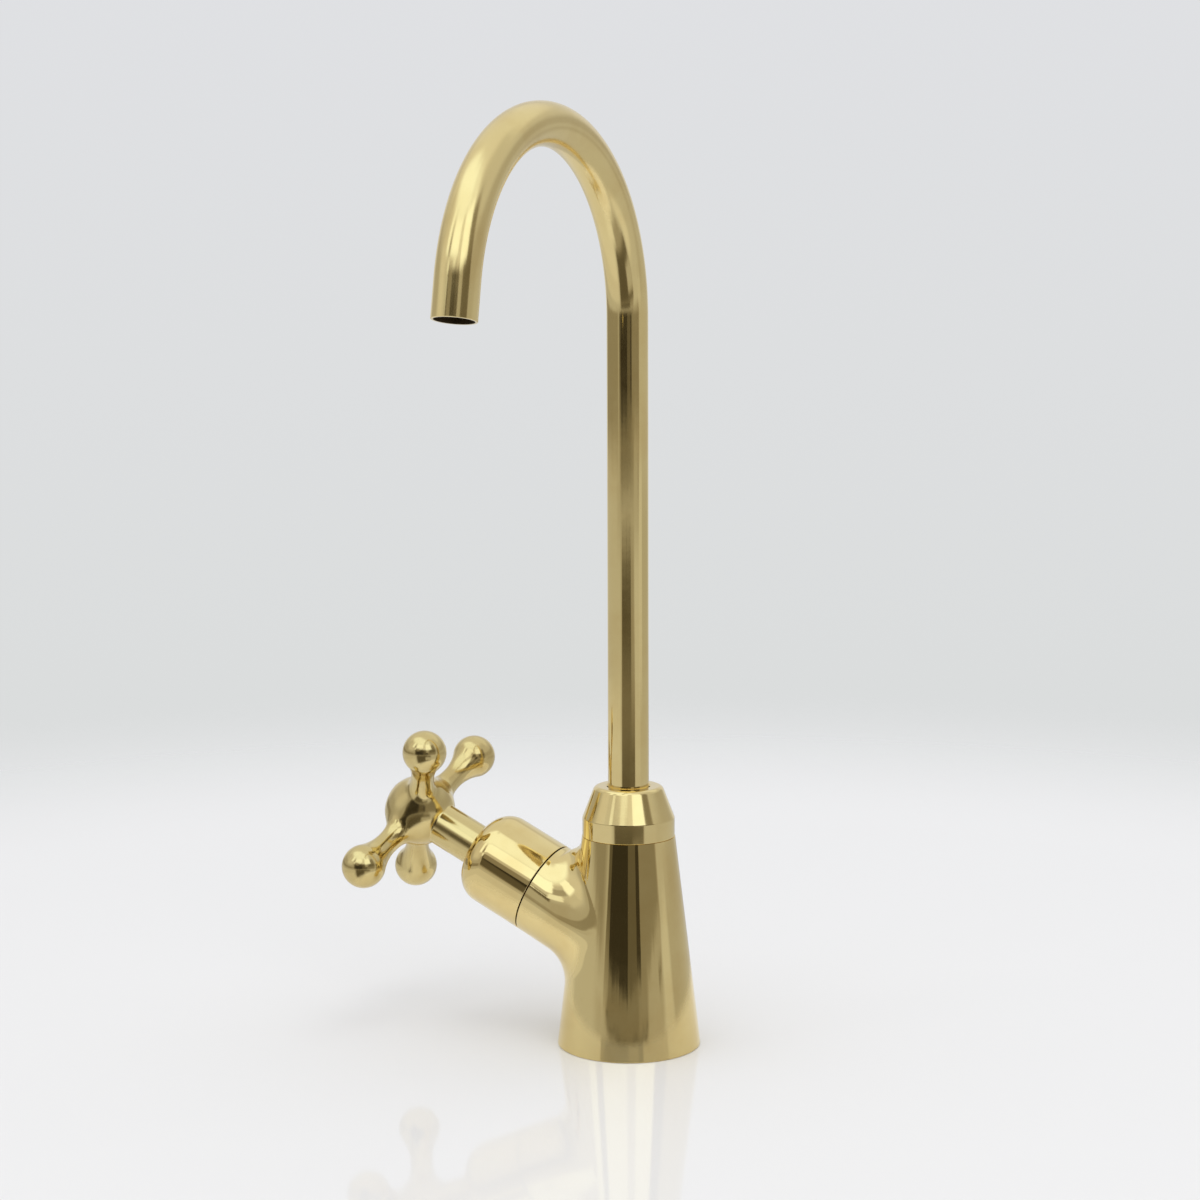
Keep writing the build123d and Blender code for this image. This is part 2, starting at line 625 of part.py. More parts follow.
# Plain cap that closes the screw's hole, domed to follow the hub
with BuildPart() as index_cap:
    with BuildSketch(Plane(origin=hub_centre, x_dir=valve_up, z_dir=(0, -1, 0))):
        with BuildLine():
            rim = cap_diameter / 2
            rim_angle = degrees(asin(rim / hub_radius))
            dome = CenterArc((0, 0), hub_radius, 90 - rim_angle, rim_angle)
            cap_foot = cap_seat - handle_distance
            Polyline(dome @ 0, (rim, cap_foot), (0, cap_foot), dome @ 1)
        make_face()
    revolve(axis=valve_axis)
    turn(valve_plane, cap_peg_diameter, cap_seat - cap_peg_length, cap_seat)
index_cap.part.label = "index_cap"

pieces = [body, base_seal, spout_collar, spout_ferrule, spout_tube, *spout_o_rings, *slip_rings]
pieces += [seat_seal, fixed_disc, moving_disc, headwork_housing, headwork_washer, spindle, *spindle_o_rings]
pieces += [thrust_washer, circlip, shroud, cross_handle, handle_screw, index_cap]

os.makedirs("parts", exist_ok=True)
for piece in pieces:
    export_step(piece.part, f"parts/{piece.part.label}.step")
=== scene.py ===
"""The looks of the cold water tap: brass finishes, studio floor, light and camera."""

import json
import math

import bmesh
import bpy
import numpy as np
from bpy.props import FloatProperty, PointerProperty, StringProperty
from mathutils import Matrix, Vector

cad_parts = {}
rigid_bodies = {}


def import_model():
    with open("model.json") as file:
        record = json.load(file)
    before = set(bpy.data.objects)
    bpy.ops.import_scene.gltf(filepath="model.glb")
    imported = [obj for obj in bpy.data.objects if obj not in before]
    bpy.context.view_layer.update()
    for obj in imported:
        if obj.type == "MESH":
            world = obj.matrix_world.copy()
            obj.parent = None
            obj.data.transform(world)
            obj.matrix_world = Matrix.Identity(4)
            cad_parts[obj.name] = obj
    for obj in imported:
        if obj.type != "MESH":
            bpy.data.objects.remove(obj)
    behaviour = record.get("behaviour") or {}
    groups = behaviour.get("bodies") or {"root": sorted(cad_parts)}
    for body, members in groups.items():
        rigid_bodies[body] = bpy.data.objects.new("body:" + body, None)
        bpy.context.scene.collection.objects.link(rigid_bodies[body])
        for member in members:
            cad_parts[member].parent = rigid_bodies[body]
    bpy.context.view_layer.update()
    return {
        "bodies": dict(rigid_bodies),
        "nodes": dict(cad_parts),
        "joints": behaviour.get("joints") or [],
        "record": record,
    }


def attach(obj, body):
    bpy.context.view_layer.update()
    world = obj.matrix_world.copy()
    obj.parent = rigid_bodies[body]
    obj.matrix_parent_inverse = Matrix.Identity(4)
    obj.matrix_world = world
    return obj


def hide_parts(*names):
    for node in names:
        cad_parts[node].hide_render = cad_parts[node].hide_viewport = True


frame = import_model()
NODES = frame["nodes"]

bl_info = {
    "name": "Cold water tap",
    "version": (1, 0, 0),
    "blender": (4, 5, 0),
    "location": "3D View > Sidebar > Tap",
    "description": "Dresses the swan-neck tap in polished brass and sets it on a pale studio floor",
    "category": "Object",
}

MM = 0.001


def linear(colour):
    """An sRGB hex colour as linear red, green, blue and alpha."""
    channels = [int(colour.lstrip("#")[i:i + 2], 16) / 255 for i in (0, 2, 4)]
    return (*[c / 12.92 if c <= 0.04045 else ((c + 0.055) / 1.055) ** 2.4 for c in channels], 1.0)


def add(tree, kind, inputs=None, **settings):
    """Adds one node. inputs maps a socket's name or number to its value or to what feeds it."""
    made = tree.nodes.new(kind)
    for name, value in settings.items():
        setattr(made, name, value)
    for name, value in (inputs or {}).items():
        socket = made.inputs[name]
        if isinstance(value, bpy.types.NodeSocket):
            tree.links.new(value, socket)
        else:
            socket.default_value = value
    return made


def length(name, description, millimetres):
    """A length as a property, written in millimetres and kept in metres."""
    return FloatProperty(
        name=name, description=description, default=millimetres * MM, min=0.0, precision=5,
        subtype="DISTANCE", unit="LENGTH",
    )


def share(name, description, value):
    """A share from nought to one as a property."""
    return FloatProperty(
        name=name, description=description, default=value, min=0.0, max=1.0, subtype="FACTOR",
    )


class TapForm(bpy.types.PropertyGroup):
    """Sizes that the looks alone decide, within the solids' own outline."""

    blend_above: length("Blend above", "Fillet between body and branch, above the branch", 8.0)
    blend_below: length("Blend below", "Fillet between body and branch, below the branch", 14.0)
    blend_beside: length(
        "Blend beside", "Fillet between body and branch, on both sides of the branch", 25.0,
    )
    branch_flare: FloatProperty(
        name="Branch flare", description="How far the branch opens sideways towards the body",
        default=math.radians(5.0), min=0.0, max=math.radians(8.0), subtype="ANGLE", unit="ROTATION",
    )
    turned_length: length(
        "Turned end", "How much of the branch's end is turned round, beyond its blend", 4.0,
    )
    turned_round: length(
        "Turned end's root", "Radius with which the turned end runs out into the blend", 2.5,
    )
    joint_round: length("Joint edges", "Radius of the edges along the joint lines", 0.25)
    collar_hole: length("Collar hole", "Diameter of the collar's hole round the tube", 15.7)
    hub_softness: length("Hub softness", "How softly the handle's arms grow out of its hub", 1.55)
    grain: length("Face size", "Size of the faces of the blended skins", 0.5)


# Sizes in millimetres that the solids fix, as in the part's source
BASE_RADIUS = 26.5
BODY_HEIGHT = 78.2
BODY_TOP_RADIUS = 17.15
BASE_ROUND = 0.5
SEAL_OUTER_RADIUS = 23.7
SEAL_INNER_RADIUS = 21.3
SEAL_DEPTH = 2.0
RECESS_RADIUS = 20.0
RECESS_DEPTH = 20.0
PILLAR_RADIUS = 14.0
# Offset from the axis, radius and depth of the hose inlet and of the fixing hole
UNDERSIDE_HOLES = ((7.0, 4.5, 14.0), (-7.5, 3.4, 18.0))
VALVE_HEIGHT = 38.1
VALVE_TILT = math.radians(25.5)
BRANCH_RADIUS = 17.75
BRANCH_LENGTH = 38.6
COLLAR_HEIGHT = 18.6
COLLAR_BAND = 7.0
COLLAR_RADIUS = 16.95
COLLAR_TOP_RADIUS = 12.45
COLLAR_ROUND = 2.0
COLLAR_CHAMFER = 0.5
COLLAR_FLANGE = 2.5
TUBE_RADIUS = 7.5
TUBE_WALL = 1.0
TUBE_FOOT = 76.0
ARCH_START = 267.3
ARCH_RADIUS = 63.8
ARCH_ANGLE = math.radians(169.3)
MOUTH_LENGTH = 12.7
MOUTH_ROUND = 0.15
SHROUD_RADIUS = 17.75
SHROUD_GAP = 0.5
SHROUD_LENGTH = 29.8
SHROUD_SHOULDER = 9.5
SHROUD_WALL = 1.9
SHROUD_FRONT = 2.5
HANDLE_DISTANCE = 97.3
HANDLE_TURN = math.radians(58.0)
ARM_COUNT = 4
HUB_RADIUS = 13.35
BALL_DISTANCE = 34.5
BALL_RADIUS = 8.2
WAIST_RADIUS = 4.3
WAIST_DISTANCE = 20.0
NECK_RADIUS = 8.0
NECK_END = 4.0
NECK_BORE = 5.6
NECK_IN_SHROUD = 6.4
NECK_GAP = 0.55
CAP_HOLE_RADIUS = 4.55
CAP_RADIUS = 4.5
CAP_DEPTH = 1.1
CAP_PEG_RADIUS = 3.95
CAP_PEG_LENGTH = 4.0

# Sizes in millimetres that only the looks have: the hub under the roots of its arms, how far those
# roots spread, the fillet from neck to hub, and the step between the collar's band and its cone
HUB_CORE = 13.16
ARM_FLARE = 6.0
NECK_FILLET = 2.0
STEP_BELOW, STEP_ABOVE, STEP_IN = 0.2, 0.15, 0.1
# The shroud's shoulder turns this far, in degrees, and leaves a low lip round the neck
SHOULDER_ANGLE = 86
SHROUD_LIP = 0.2

# How finely round things are made: steps round a turned piece, the tube, the neck, the cap and a
# drilled hole, along the arch, and across an edge, a fillet and the larger arcs
TURNED_STEPS, TUBE_STEPS, NECK_STEPS, CAP_STEPS, HOLE_STEPS = 160, 96, 128, 64, 48
ARCH_STEPS = 110
EDGE_STEPS, NECK_EDGE_STEPS, FOOT_STEPS = 4, 3, 5
FILLET_STEPS, COLLAR_ROUND_STEPS, DOME_STEPS = 8, 12, 40
# The rough shapes under the blended skins: steps round a cone, an arm and a ball, and how much
# thicker an arm is at its root
ROUGH_STEPS, ROUGH_ARM_STEPS, ROUGH_BALL_STEPS = 96, 32, (48, 32)
ROUGH_ROOT = 1.2
# The blended skins' voxels against the face size, and how often such a skin is settled
BODY_VOXEL, STAR_VOXEL = 1.1, 0.9
BODY_ROUNDS, STAR_ROUNDS = 4, 5
PULLS = 4
# The rings that the branch's end and the body's top are closed from, as shares of their radius
BRANCH_INSET, TOP_INSET = 0.6, 0.8
# Edges sharper than this stay crisp, in degrees
CRISP = 32

VALVE_AXIS = Vector((-math.cos(VALVE_TILT), 0.0, math.sin(VALVE_TILT)))
VALVE_UP = Vector((math.sin(VALVE_TILT), 0.0, math.cos(VALVE_TILT)))
VALVE_SIDE = Vector((0.0, -1.0, 0.0))
VALVE_ORIGIN = Vector((0.0, 0.0, VALVE_HEIGHT))
VALVE_FRAME = Matrix.Translation(VALVE_ORIGIN) @ Matrix(
    (VALVE_SIDE, VALVE_UP, VALVE_AXIS)
).transposed().to_4x4()
HUB_CENTRE = VALVE_ORIGIN + VALVE_AXIS * HANDLE_DISTANCE


def line(shape, last, radius, height):
    """Carries a turned piece's outline on to a new corner."""
    corner = shape.verts.new((radius, 0.0, height))
    shape.edges.new((last, corner))
    return corner


def arc(shape, last, centre, angle, steps):
    """Carries the outline on round an arc. A positive angle turns from height towards radius."""
    made = bmesh.ops.spin(
        shape, geom=[last], cent=(centre[0], 0.0, centre[1]), axis=(0, 1, 0),
        angle=math.radians(angle), steps=steps, dvec=(0, 0, 0),
    )
    return [v for v in made["geom_last"] if isinstance(v, bmesh.types.BMVert)][0]


def turn(shape, steps):
    """Spins the whole outline round its axis into a closed skin."""
    bmesh.ops.spin(
        shape, geom=shape.verts[:] + shape.edges[:], cent=(0, 0, 0), axis=(0, 0, 1),
        angle=2 * math.pi, steps=steps, dvec=(0, 0, 0), use_merge=True,
    )
    bmesh.ops.remove_doubles(shape, verts=shape.verts, dist=1e-5)
    bmesh.ops.recalc_face_normals(shape, faces=shape.faces)


def piece(name, shape, place, material, body, slot, *nodes):
    """Turns a shape in millimetres into a finished piece on its body."""
    bmesh.ops.transform(shape, matrix=Matrix.Scale(MM, 4) @ place, verts=shape.verts)
    mesh = bpy.data.meshes.new(name)
    shape.to_mesh(mesh)
    shape.free()
    mesh.shade_smooth()
    mesh.set_sharp_from_angle(angle=math.radians(CRISP))
    mesh.materials.append(material)
    made = bpy.data.objects.new(name, mesh)
    bpy.context.scene.collection.objects.link(made)
    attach(made, body)
    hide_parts(*nodes)
    return made


def weighted_normals(made):
    """Flats stay flat and rounds stay round where they meet."""
    modifier = made.modifiers.new("Even shading", "WEIGHTED_NORMAL")
    modifier.keep_sharp = True
    modifier.weight = 100


def remeshed(shape, voxel):
    """The shape's outside as one skin of small even faces, in millimetres."""
    mesh = bpy.data.meshes.new("rough")
    shape.to_mesh(mesh)
    rough = bpy.data.objects.new("rough", mesh)
    bpy.context.scene.collection.objects.link(rough)
    modifier = rough.modifiers.new("Remesh", "REMESH")
    modifier.mode = "VOXEL"
    modifier.voxel_size = voxel
    even = bpy.data.meshes.new_from_object(
        rough.evaluated_get(bpy.context.evaluated_depsgraph_get())
    )
    shape.clear()
    shape.from_mesh(even)
    bpy.data.objects.remove(rough)
    bpy.data.meshes.remove(mesh)
    bpy.data.meshes.remove(even)


def slope(distance, points):
    """The direction in which a distance grows, at each point."""
    step = 0.01
    grown = [distance(points + step * axis) - distance(points - step * axis) for axis in np.eye(3)]
    direction = np.stack(grown, axis=1)
    return direction / np.maximum(np.linalg.norm(direction, axis=1, keepdims=True), 1e-9)


def settle(shape, distance, rounds):
    """Moves a remeshed skin onto the true surface, evening its faces between the moves."""
    for turn_number in range(rounds):
        points = np.array([v.co for v in shape.verts])
        for pull in range(PULLS):
            points -= slope(distance, points) * distance(points)[:, None]
        for vertex, point in zip(shape.verts, points):
            vertex.co = point
        if turn_number < rounds - 1:
            bmesh.ops.smooth_vert(
                shape, verts=shape.verts, factor=0.5, use_axis_x=True, use_axis_y=True,
                use_axis_z=True,
            )


def true_normals(mesh, distance, limit=20.0):
    """Shades the skin by the true surface's own directions, and its cut edges by their faces."""
    points = np.array([v.co for v in mesh.vertices]) / MM
    directions = slope(distance, points)
    normals = []
    least = math.cos(math.radians(limit))
    for face in mesh.polygons:
        across = np.array(face.normal)
        for loop in face.loop_indices:
            direction = directions[mesh.loops[loop].vertex_index]
            normals.append(direction if direction @ across > least else across)
    mesh.normals_split_custom_set(normals)


def body_distance(points):
    """Distance from the body's outside: cone, branch that widens into it, and their fillet."""
    form = bpy.context.scene.tap_form
    flare, turned_round = math.tan(form.branch_flare), form.turned_round / MM
    above, below, beside = form.blend_above / MM, form.blend_below / MM, form.blend_beside / MM
    x, y, z = points.T
    taper = (BODY_TOP_RADIUS - BASE_RADIUS) / BODY_HEIGHT
    steep = 1 / math.hypot(1.0, taper)
    across = np.maximum(np.hypot(x, y), 1e-6)
    cone = (across - BASE_RADIUS - taper * z) * steep
    cone_way = np.stack(
        [x / across * steep, y / across * steep, np.full_like(z, -taper * steep)], axis=1,
    )
    out = points - np.array(VALVE_ORIGIN)
    along, up, side = [out @ np.array(way) for way in (VALVE_AXIS, VALVE_UP, VALVE_SIDE)]
    wide = 1 + flare * np.clip(BRANCH_LENGTH - along, 0, BRANCH_LENGTH) / BRANCH_RADIUS
    drawn_in = side / wide
    around = np.maximum(np.hypot(up, drawn_in), 1e-6)
    branch_way = np.stack(
        [drawn_in ** 2 * flare / (BRANCH_RADIUS * wide), up, drawn_in / wide], axis=1,
    ) / around[:, None]
    grown = np.linalg.norm(branch_way, axis=1)
    branch_way = branch_way / grown[:, None] @ np.array((VALVE_AXIS, VALVE_UP, VALVE_SIDE))
    branch = np.maximum((around - BRANCH_RADIUS) / grown, -along)
    lean = (cone_way * branch_way).sum(axis=1)
    ball = below + (above - below) * (0.5 + 0.5 * up / around)
    ball = ball + (beside - ball) * (drawn_in / around) ** 4
    from_cone, from_branch = ball - cone, ball - branch
    between = (from_cone > lean * from_branch) & (from_branch > lean * from_cone) & (along > 0)
    reach = np.sqrt(
        np.maximum(
            from_cone ** 2 + from_branch ** 2 - 2 * lean * from_cone * from_branch, 0,
        ) / np.maximum(1 - lean ** 2, 1e-4)
    )
    both = np.where(
        between, np.minimum(ball - reach, np.minimum(cone, branch)), np.minimum(cone, branch),
    )
    inward, behind = BRANCH_RADIUS - around, BRANCH_LENGTH - form.turned_length / MM - along
    cut = np.minimum(-turned_round, np.maximum(inward, behind)) + np.hypot(
        np.maximum(turned_round + inward, 0), np.maximum(turned_round + behind, 0),
    )
    return np.maximum(both, -cut)


def star_distance(points):
    """Distance from the handle's outside: a hub with soft arms, each with a waist and a ball."""
    soft = bpy.context.scene.tap_form.hub_softness / MM
    gap = BALL_DISTANCE - WAIST_DISTANCE
    swell = (gap ** 2 + WAIST_RADIUS ** 2 - BALL_RADIUS ** 2) / (2 * (BALL_RADIUS - WAIST_RADIUS))
    out = points - np.array(HUB_CENTRE)
    along = np.stack([out @ np.array(arm_direction(arm)) for arm in range(ARM_COUNT)])
    around = np.sqrt(np.maximum((out ** 2).sum(axis=1) - along ** 2, 0))
    stem = around - WAIST_RADIUS - ARM_FLARE * np.clip(1 - along / WAIST_DISTANCE, 0, 1) ** 2
    swollen = swell - np.hypot(along - WAIST_DISTANCE, around - WAIST_RADIUS - swell)
    ball = np.hypot(along - BALL_DISTANCE, around) - BALL_RADIUS
    on_ball = (along - BALL_DISTANCE) * (WAIST_RADIUS + swell) > -around * gap
    arms = np.where(along < WAIST_DISTANCE, stem, np.where(on_ball, ball, swollen))
    arms = np.where(along > 0, arms, HUB_RADIUS * 9)
    parts = np.vstack([arms, np.linalg.norm(out, axis=1) - HUB_CORE])
    nearest = parts.min(axis=0)
    return nearest - soft * np.log(np.exp((nearest - parts) / soft).sum(axis=0))


def arm_direction(arm):
    """The way one arm of the cross points."""
    angle = HANDLE_TURN + arm * 2 * math.pi / ARM_COUNT
    return VALVE_SIDE * math.cos(angle) + VALVE_UP * math.sin(angle)


def ring_from(shape, edges, change):
    """Extrudes a ring of edges and moves the new ring."""
    made = bmesh.ops.extrude_edge_only(shape, edges=edges)["geom"]
    verts = [v for v in made if isinstance(v, bmesh.types.BMVert)]
    bmesh.ops.transform(shape, matrix=change, verts=verts)
    return [e for e in made if isinstance(e, bmesh.types.BMEdge) and e.is_boundary]


def cut_off(shape, point, normal):
    """Cuts the shape at a plane, drops what lies beyond, and gives the ring of edges left open."""
    made = bmesh.ops.bisect_plane(
        shape, geom=shape.verts[:] + shape.edges[:] + shape.faces[:], dist=1e-4, plane_co=point,
        plane_no=normal, clear_outer=True,
    )
    bmesh.ops.dissolve_degenerate(shape, dist=1e-3, edges=shape.edges)
    point, normal = Vector(point), Vector(normal)
    rim = [e for e in shape.edges if e.is_boundary]
    return [e for e in rim if all(abs((v.co - point).dot(normal)) < 1e-3 for v in e.verts)]


def about_axis(frame, radial, along=0.0):
    """Scales round an axis and slides along it."""
    return frame @ Matrix.Translation((0, 0, along)) @ Matrix.Diagonal(
        (radial, radial, 1, 1)
    ) @ frame.inverted()


class TAP_OT_body(bpy.types.Operator):
    """Models the conical body with its slanted branch"""

    bl_idname = "tap.body"
    bl_label = "Body"

    def execute(self, context):
        shape = bmesh.new()
        rounding = context.scene.tap_form.joint_round / MM
        # How far the rough shape runs past its ends, and where it is cut before and after settling
        spare, rough_branch, rough_end, last_cut = 6.0, 2.0, 3.0, 1.0
        taper = (BODY_TOP_RADIUS - BASE_RADIUS) / BODY_HEIGHT
        bmesh.ops.create_cone(
            shape, cap_ends=True, segments=ROUGH_STEPS, radius1=BASE_RADIUS - taper * spare,
            radius2=BASE_RADIUS + taper * (BODY_HEIGHT + spare), depth=BODY_HEIGHT + 2 * spare,
            matrix=Matrix.Translation((0, 0, BODY_HEIGHT / 2)),
        )
        bmesh.ops.create_cone(
            shape, cap_ends=True, segments=ROUGH_STEPS, radius1=BRANCH_RADIUS,
            radius2=BRANCH_RADIUS, depth=BRANCH_LENGTH + spare,
            matrix=VALVE_FRAME @ Matrix.Translation((0, 0, (BRANCH_LENGTH + spare) / 2)),
        )
        remeshed(shape, BODY_VOXEL * context.scene.tap_form.grain / MM)
        # The ends go before the skin settles, so that only smooth walls are left to settle
        cut_off(shape, VALVE_ORIGIN + VALVE_AXIS * (BRANCH_LENGTH + rough_branch), VALVE_AXIS)
        cut_off(shape, (0, 0, BODY_HEIGHT + rough_end), (0, 0, 1))
        cut_off(shape, (0, 0, -rough_end), (0, 0, -1))
        settle(shape, body_distance, BODY_ROUNDS)
        flat = Matrix.Identity(4)
        # The branch's end, its edge broken in two facets, and a ring inside to close it from
        slight, full = 0.3, 0.7
        middle, inner = BRANCH_RADIUS - rounding * slight, BRANCH_RADIUS - rounding
        rim = cut_off(shape, VALVE_ORIGIN + VALVE_AXIS * (BRANCH_LENGTH - last_cut), VALVE_AXIS)
        rim = ring_from(shape, rim, about_axis(VALVE_FRAME, 1.0, last_cut - rounding))
        rim = ring_from(
            shape, rim, about_axis(VALVE_FRAME, middle / BRANCH_RADIUS, rounding * full),
        )
        rim = ring_from(shape, rim, about_axis(VALVE_FRAME, inner / middle, rounding * slight))
        rim = ring_from(shape, rim, about_axis(VALVE_FRAME, BRANCH_INSET))
        bmesh.ops.edgeloop_fill(shape, edges=rim)
        rim = cut_off(shape, (0, 0, BODY_HEIGHT), (0, 0, 1))
        rim = ring_from(shape, rim, about_axis(flat, TOP_INSET))
        bmesh.ops.edgeloop_fill(shape, edges=rim)
        # The foot, with its edge rounded, and then the underside inwards from it
        rim = cut_off(shape, (0, 0, last_cut), (0, 0, -1))
        radius = BASE_RADIUS + taper * last_cut
        foot = BASE_RADIUS + taper * BASE_ROUND
        rim = ring_from(shape, rim, about_axis(flat, foot / radius, BASE_ROUND - last_cut))
        for step in range(FOOT_STEPS):
            now, then = [math.radians(90 / FOOT_STEPS * s) for s in (step, step + 1)]
            here, there = [foot - BASE_ROUND * (1 - math.cos(a)) for a in (now, then)]
            rim = ring_from(
                shape, rim,
                about_axis(flat, there / here, BASE_ROUND * (math.sin(now) - math.sin(then))),
            )
        radius = foot - BASE_ROUND
        groove = (
            (SEAL_OUTER_RADIUS, 0.0), (SEAL_OUTER_RADIUS, SEAL_DEPTH), (SEAL_INNER_RADIUS, 0.0),
            (SEAL_INNER_RADIUS, -SEAL_DEPTH),
        )
        recess = (
            (RECESS_RADIUS, 0.0), (RECESS_RADIUS, RECESS_DEPTH), (PILLAR_RADIUS, 0.0),
            (PILLAR_RADIUS, -RECESS_DEPTH),
        )
        for reach, rise in groove + recess:
            rim = ring_from(shape, rim, about_axis(flat, reach / radius, rise))
            radius = reach
        holes = []
        for offset, bore, depth in UNDERSIDE_HOLES:
            drilled = bmesh.ops.create_circle(
                shape, segments=HOLE_STEPS, radius=bore, matrix=Matrix.Translation((offset, 0, 0)),
            )["verts"]
            edges = list({e for v in drilled for e in v.link_edges})
            holes.append((edges, depth))
        bmesh.ops.triangle_fill(
            shape, use_beauty=True, use_dissolve=False,
            edges=rim + [e for edges, depth in holes for e in edges],
        )
        for edges, depth in holes:
            bottom = ring_from(shape, edges, Matrix.Translation((0, 0, depth)))
            bmesh.ops.edgeloop_fill(shape, edges=bottom)
        bmesh.ops.recalc_face_normals(shape, faces=shape.faces)
        made = piece(
            "body_with_branch", shape, flat, bpy.data.materials["Brass buffed body"], "tap_body",
            "body_brass", "body",
        )
        true_normals(made.data, body_distance)
        return {"FINISHED"}


class TAP_OT_collar(bpy.types.Operator):
    """Models the turned collar that holds the spout down"""

    bl_idname = "tap.collar"
    bl_label = "Collar"

    def execute(self, context):
        shape = bmesh.new()
        rounding = context.scene.tap_form.joint_round / MM
        hole = context.scene.tap_form.collar_hole / MM / 2
        run, rise = COLLAR_RADIUS - COLLAR_TOP_RADIUS, COLLAR_HEIGHT - COLLAR_BAND
        lean = math.atan2(run, rise)
        tangent = COLLAR_ROUND * math.tan((math.pi / 2 - lean) / 2)
        inner = COLLAR_RADIUS - COLLAR_FLANGE
        # How thick the collar is under its top, and how much wider than its hole below that
        crown, relief = 3.0, 1.0
        start = shape.verts.new((inner, 0, COLLAR_BAND - crown))
        last = line(shape, start, inner, 0.0)
        last = line(shape, last, COLLAR_RADIUS - rounding, 0.0)
        last = arc(shape, last, (COLLAR_RADIUS - rounding, rounding), -90, EDGE_STEPS)
        last = line(shape, last, COLLAR_RADIUS, COLLAR_BAND - STEP_BELOW)
        last = line(shape, last, COLLAR_RADIUS - STEP_IN, COLLAR_BAND + STEP_ABOVE)
        centre = (COLLAR_TOP_RADIUS - tangent, COLLAR_HEIGHT - COLLAR_ROUND)
        last = line(
            shape, last, centre[0] + COLLAR_ROUND * math.cos(lean),
            centre[1] + COLLAR_ROUND * math.sin(lean),
        )
        last = arc(shape, last, centre, -(90 - math.degrees(lean)), COLLAR_ROUND_STEPS)
        last = line(shape, last, hole + COLLAR_CHAMFER, COLLAR_HEIGHT)
        last = line(shape, last, hole, COLLAR_HEIGHT - COLLAR_CHAMFER)
        last = line(shape, last, hole, COLLAR_HEIGHT - crown)
        last = line(shape, last, hole + relief, COLLAR_HEIGHT - crown)
        last = line(shape, last, hole + relief, COLLAR_BAND + crown)
        last = line(shape, last, inner, COLLAR_BAND + crown)
        shape.edges.new((last, start))
        turn(shape, TURNED_STEPS)
        made = piece(
            "collar", shape, Matrix.Translation((0, 0, BODY_HEIGHT)),
            bpy.data.materials["Brass turned collar"], "tap_body", "collar_brass", "spout_collar",
        )
        weighted_normals(made)
        return {"FINISHED"}


class TAP_OT_spout(bpy.types.Operator):
    """Models the swan-neck tube"""

    bl_idname = "tap.spout"
    bl_label = "Swan neck"

    def execute(self, context):
        shape = bmesh.new()
        centre = Vector((0, -ARCH_RADIUS, ARCH_START))
        walls = []
        for radius in (TUBE_RADIUS, TUBE_RADIUS - TUBE_WALL):
            ring = bmesh.ops.create_circle(
                shape, segments=TUBE_STEPS, radius=radius,
                matrix=Matrix.Translation((0, 0, TUBE_FOOT)),
            )["verts"]
            first = edges = list({e for v in ring for e in v.link_edges})
            edges = ring_from(shape, edges, Matrix.Translation((0, 0, ARCH_START - TUBE_FOOT)))
            ring = list({v for e in edges for v in e.verts})
            swept = bmesh.ops.spin(
                shape, geom=ring + edges, cent=centre, axis=(1, 0, 0), angle=ARCH_ANGLE,
                steps=ARCH_STEPS, dvec=(0, 0, 0),
            )["geom_last"]
            edges = [e for e in swept if isinstance(e, bmesh.types.BMEdge)]
            way = Matrix.Rotation(ARCH_ANGLE, 3, "X") @ Vector((0, 0, 1))
            edges = ring_from(shape, edges, Matrix.Translation(way * (MOUTH_LENGTH - MOUTH_ROUND)))
            end = centre + Matrix.Rotation(ARCH_ANGLE, 3, "X") @ Vector(
                (0, ARCH_RADIUS, 0)
            ) + way * MOUTH_LENGTH
            face = Matrix.Translation(end) @ Matrix.Rotation(ARCH_ANGLE, 4, "X")
            grown = MOUTH_ROUND if radius < TUBE_RADIUS else -MOUTH_ROUND
            edges = ring_from(
                shape, edges, about_axis(face, (radius + grown) / radius, MOUTH_ROUND),
            )
            walls.append((first, edges))
            if radius == TUBE_RADIUS:
                outer_faces = set(shape.faces)
        # The inside wall gets the second finish, whose dark brown is painted shade for the deep
        # bore
        for face in shape.faces:
            face.material_index = 0 if face in outer_faces else 1
        bmesh.ops.bridge_loops(shape, edges=walls[0][0] + walls[1][0])
        bmesh.ops.bridge_loops(shape, edges=walls[0][1] + walls[1][1])
        bmesh.ops.recalc_face_normals(shape, faces=shape.faces)
        made = piece(
            "swan_neck", shape, Matrix.Identity(4), bpy.data.materials["Brass drawn tube"], "spout",
            "spout_brass", "spout_tube",
        )
        # The second finish: dull brass in a dark brown that is painted shade for the inside of the
        # tube
        made.data.materials.append(bpy.data.materials["Brass bore painted shade"])
        weighted_normals(made)
        return {"FINISHED"}


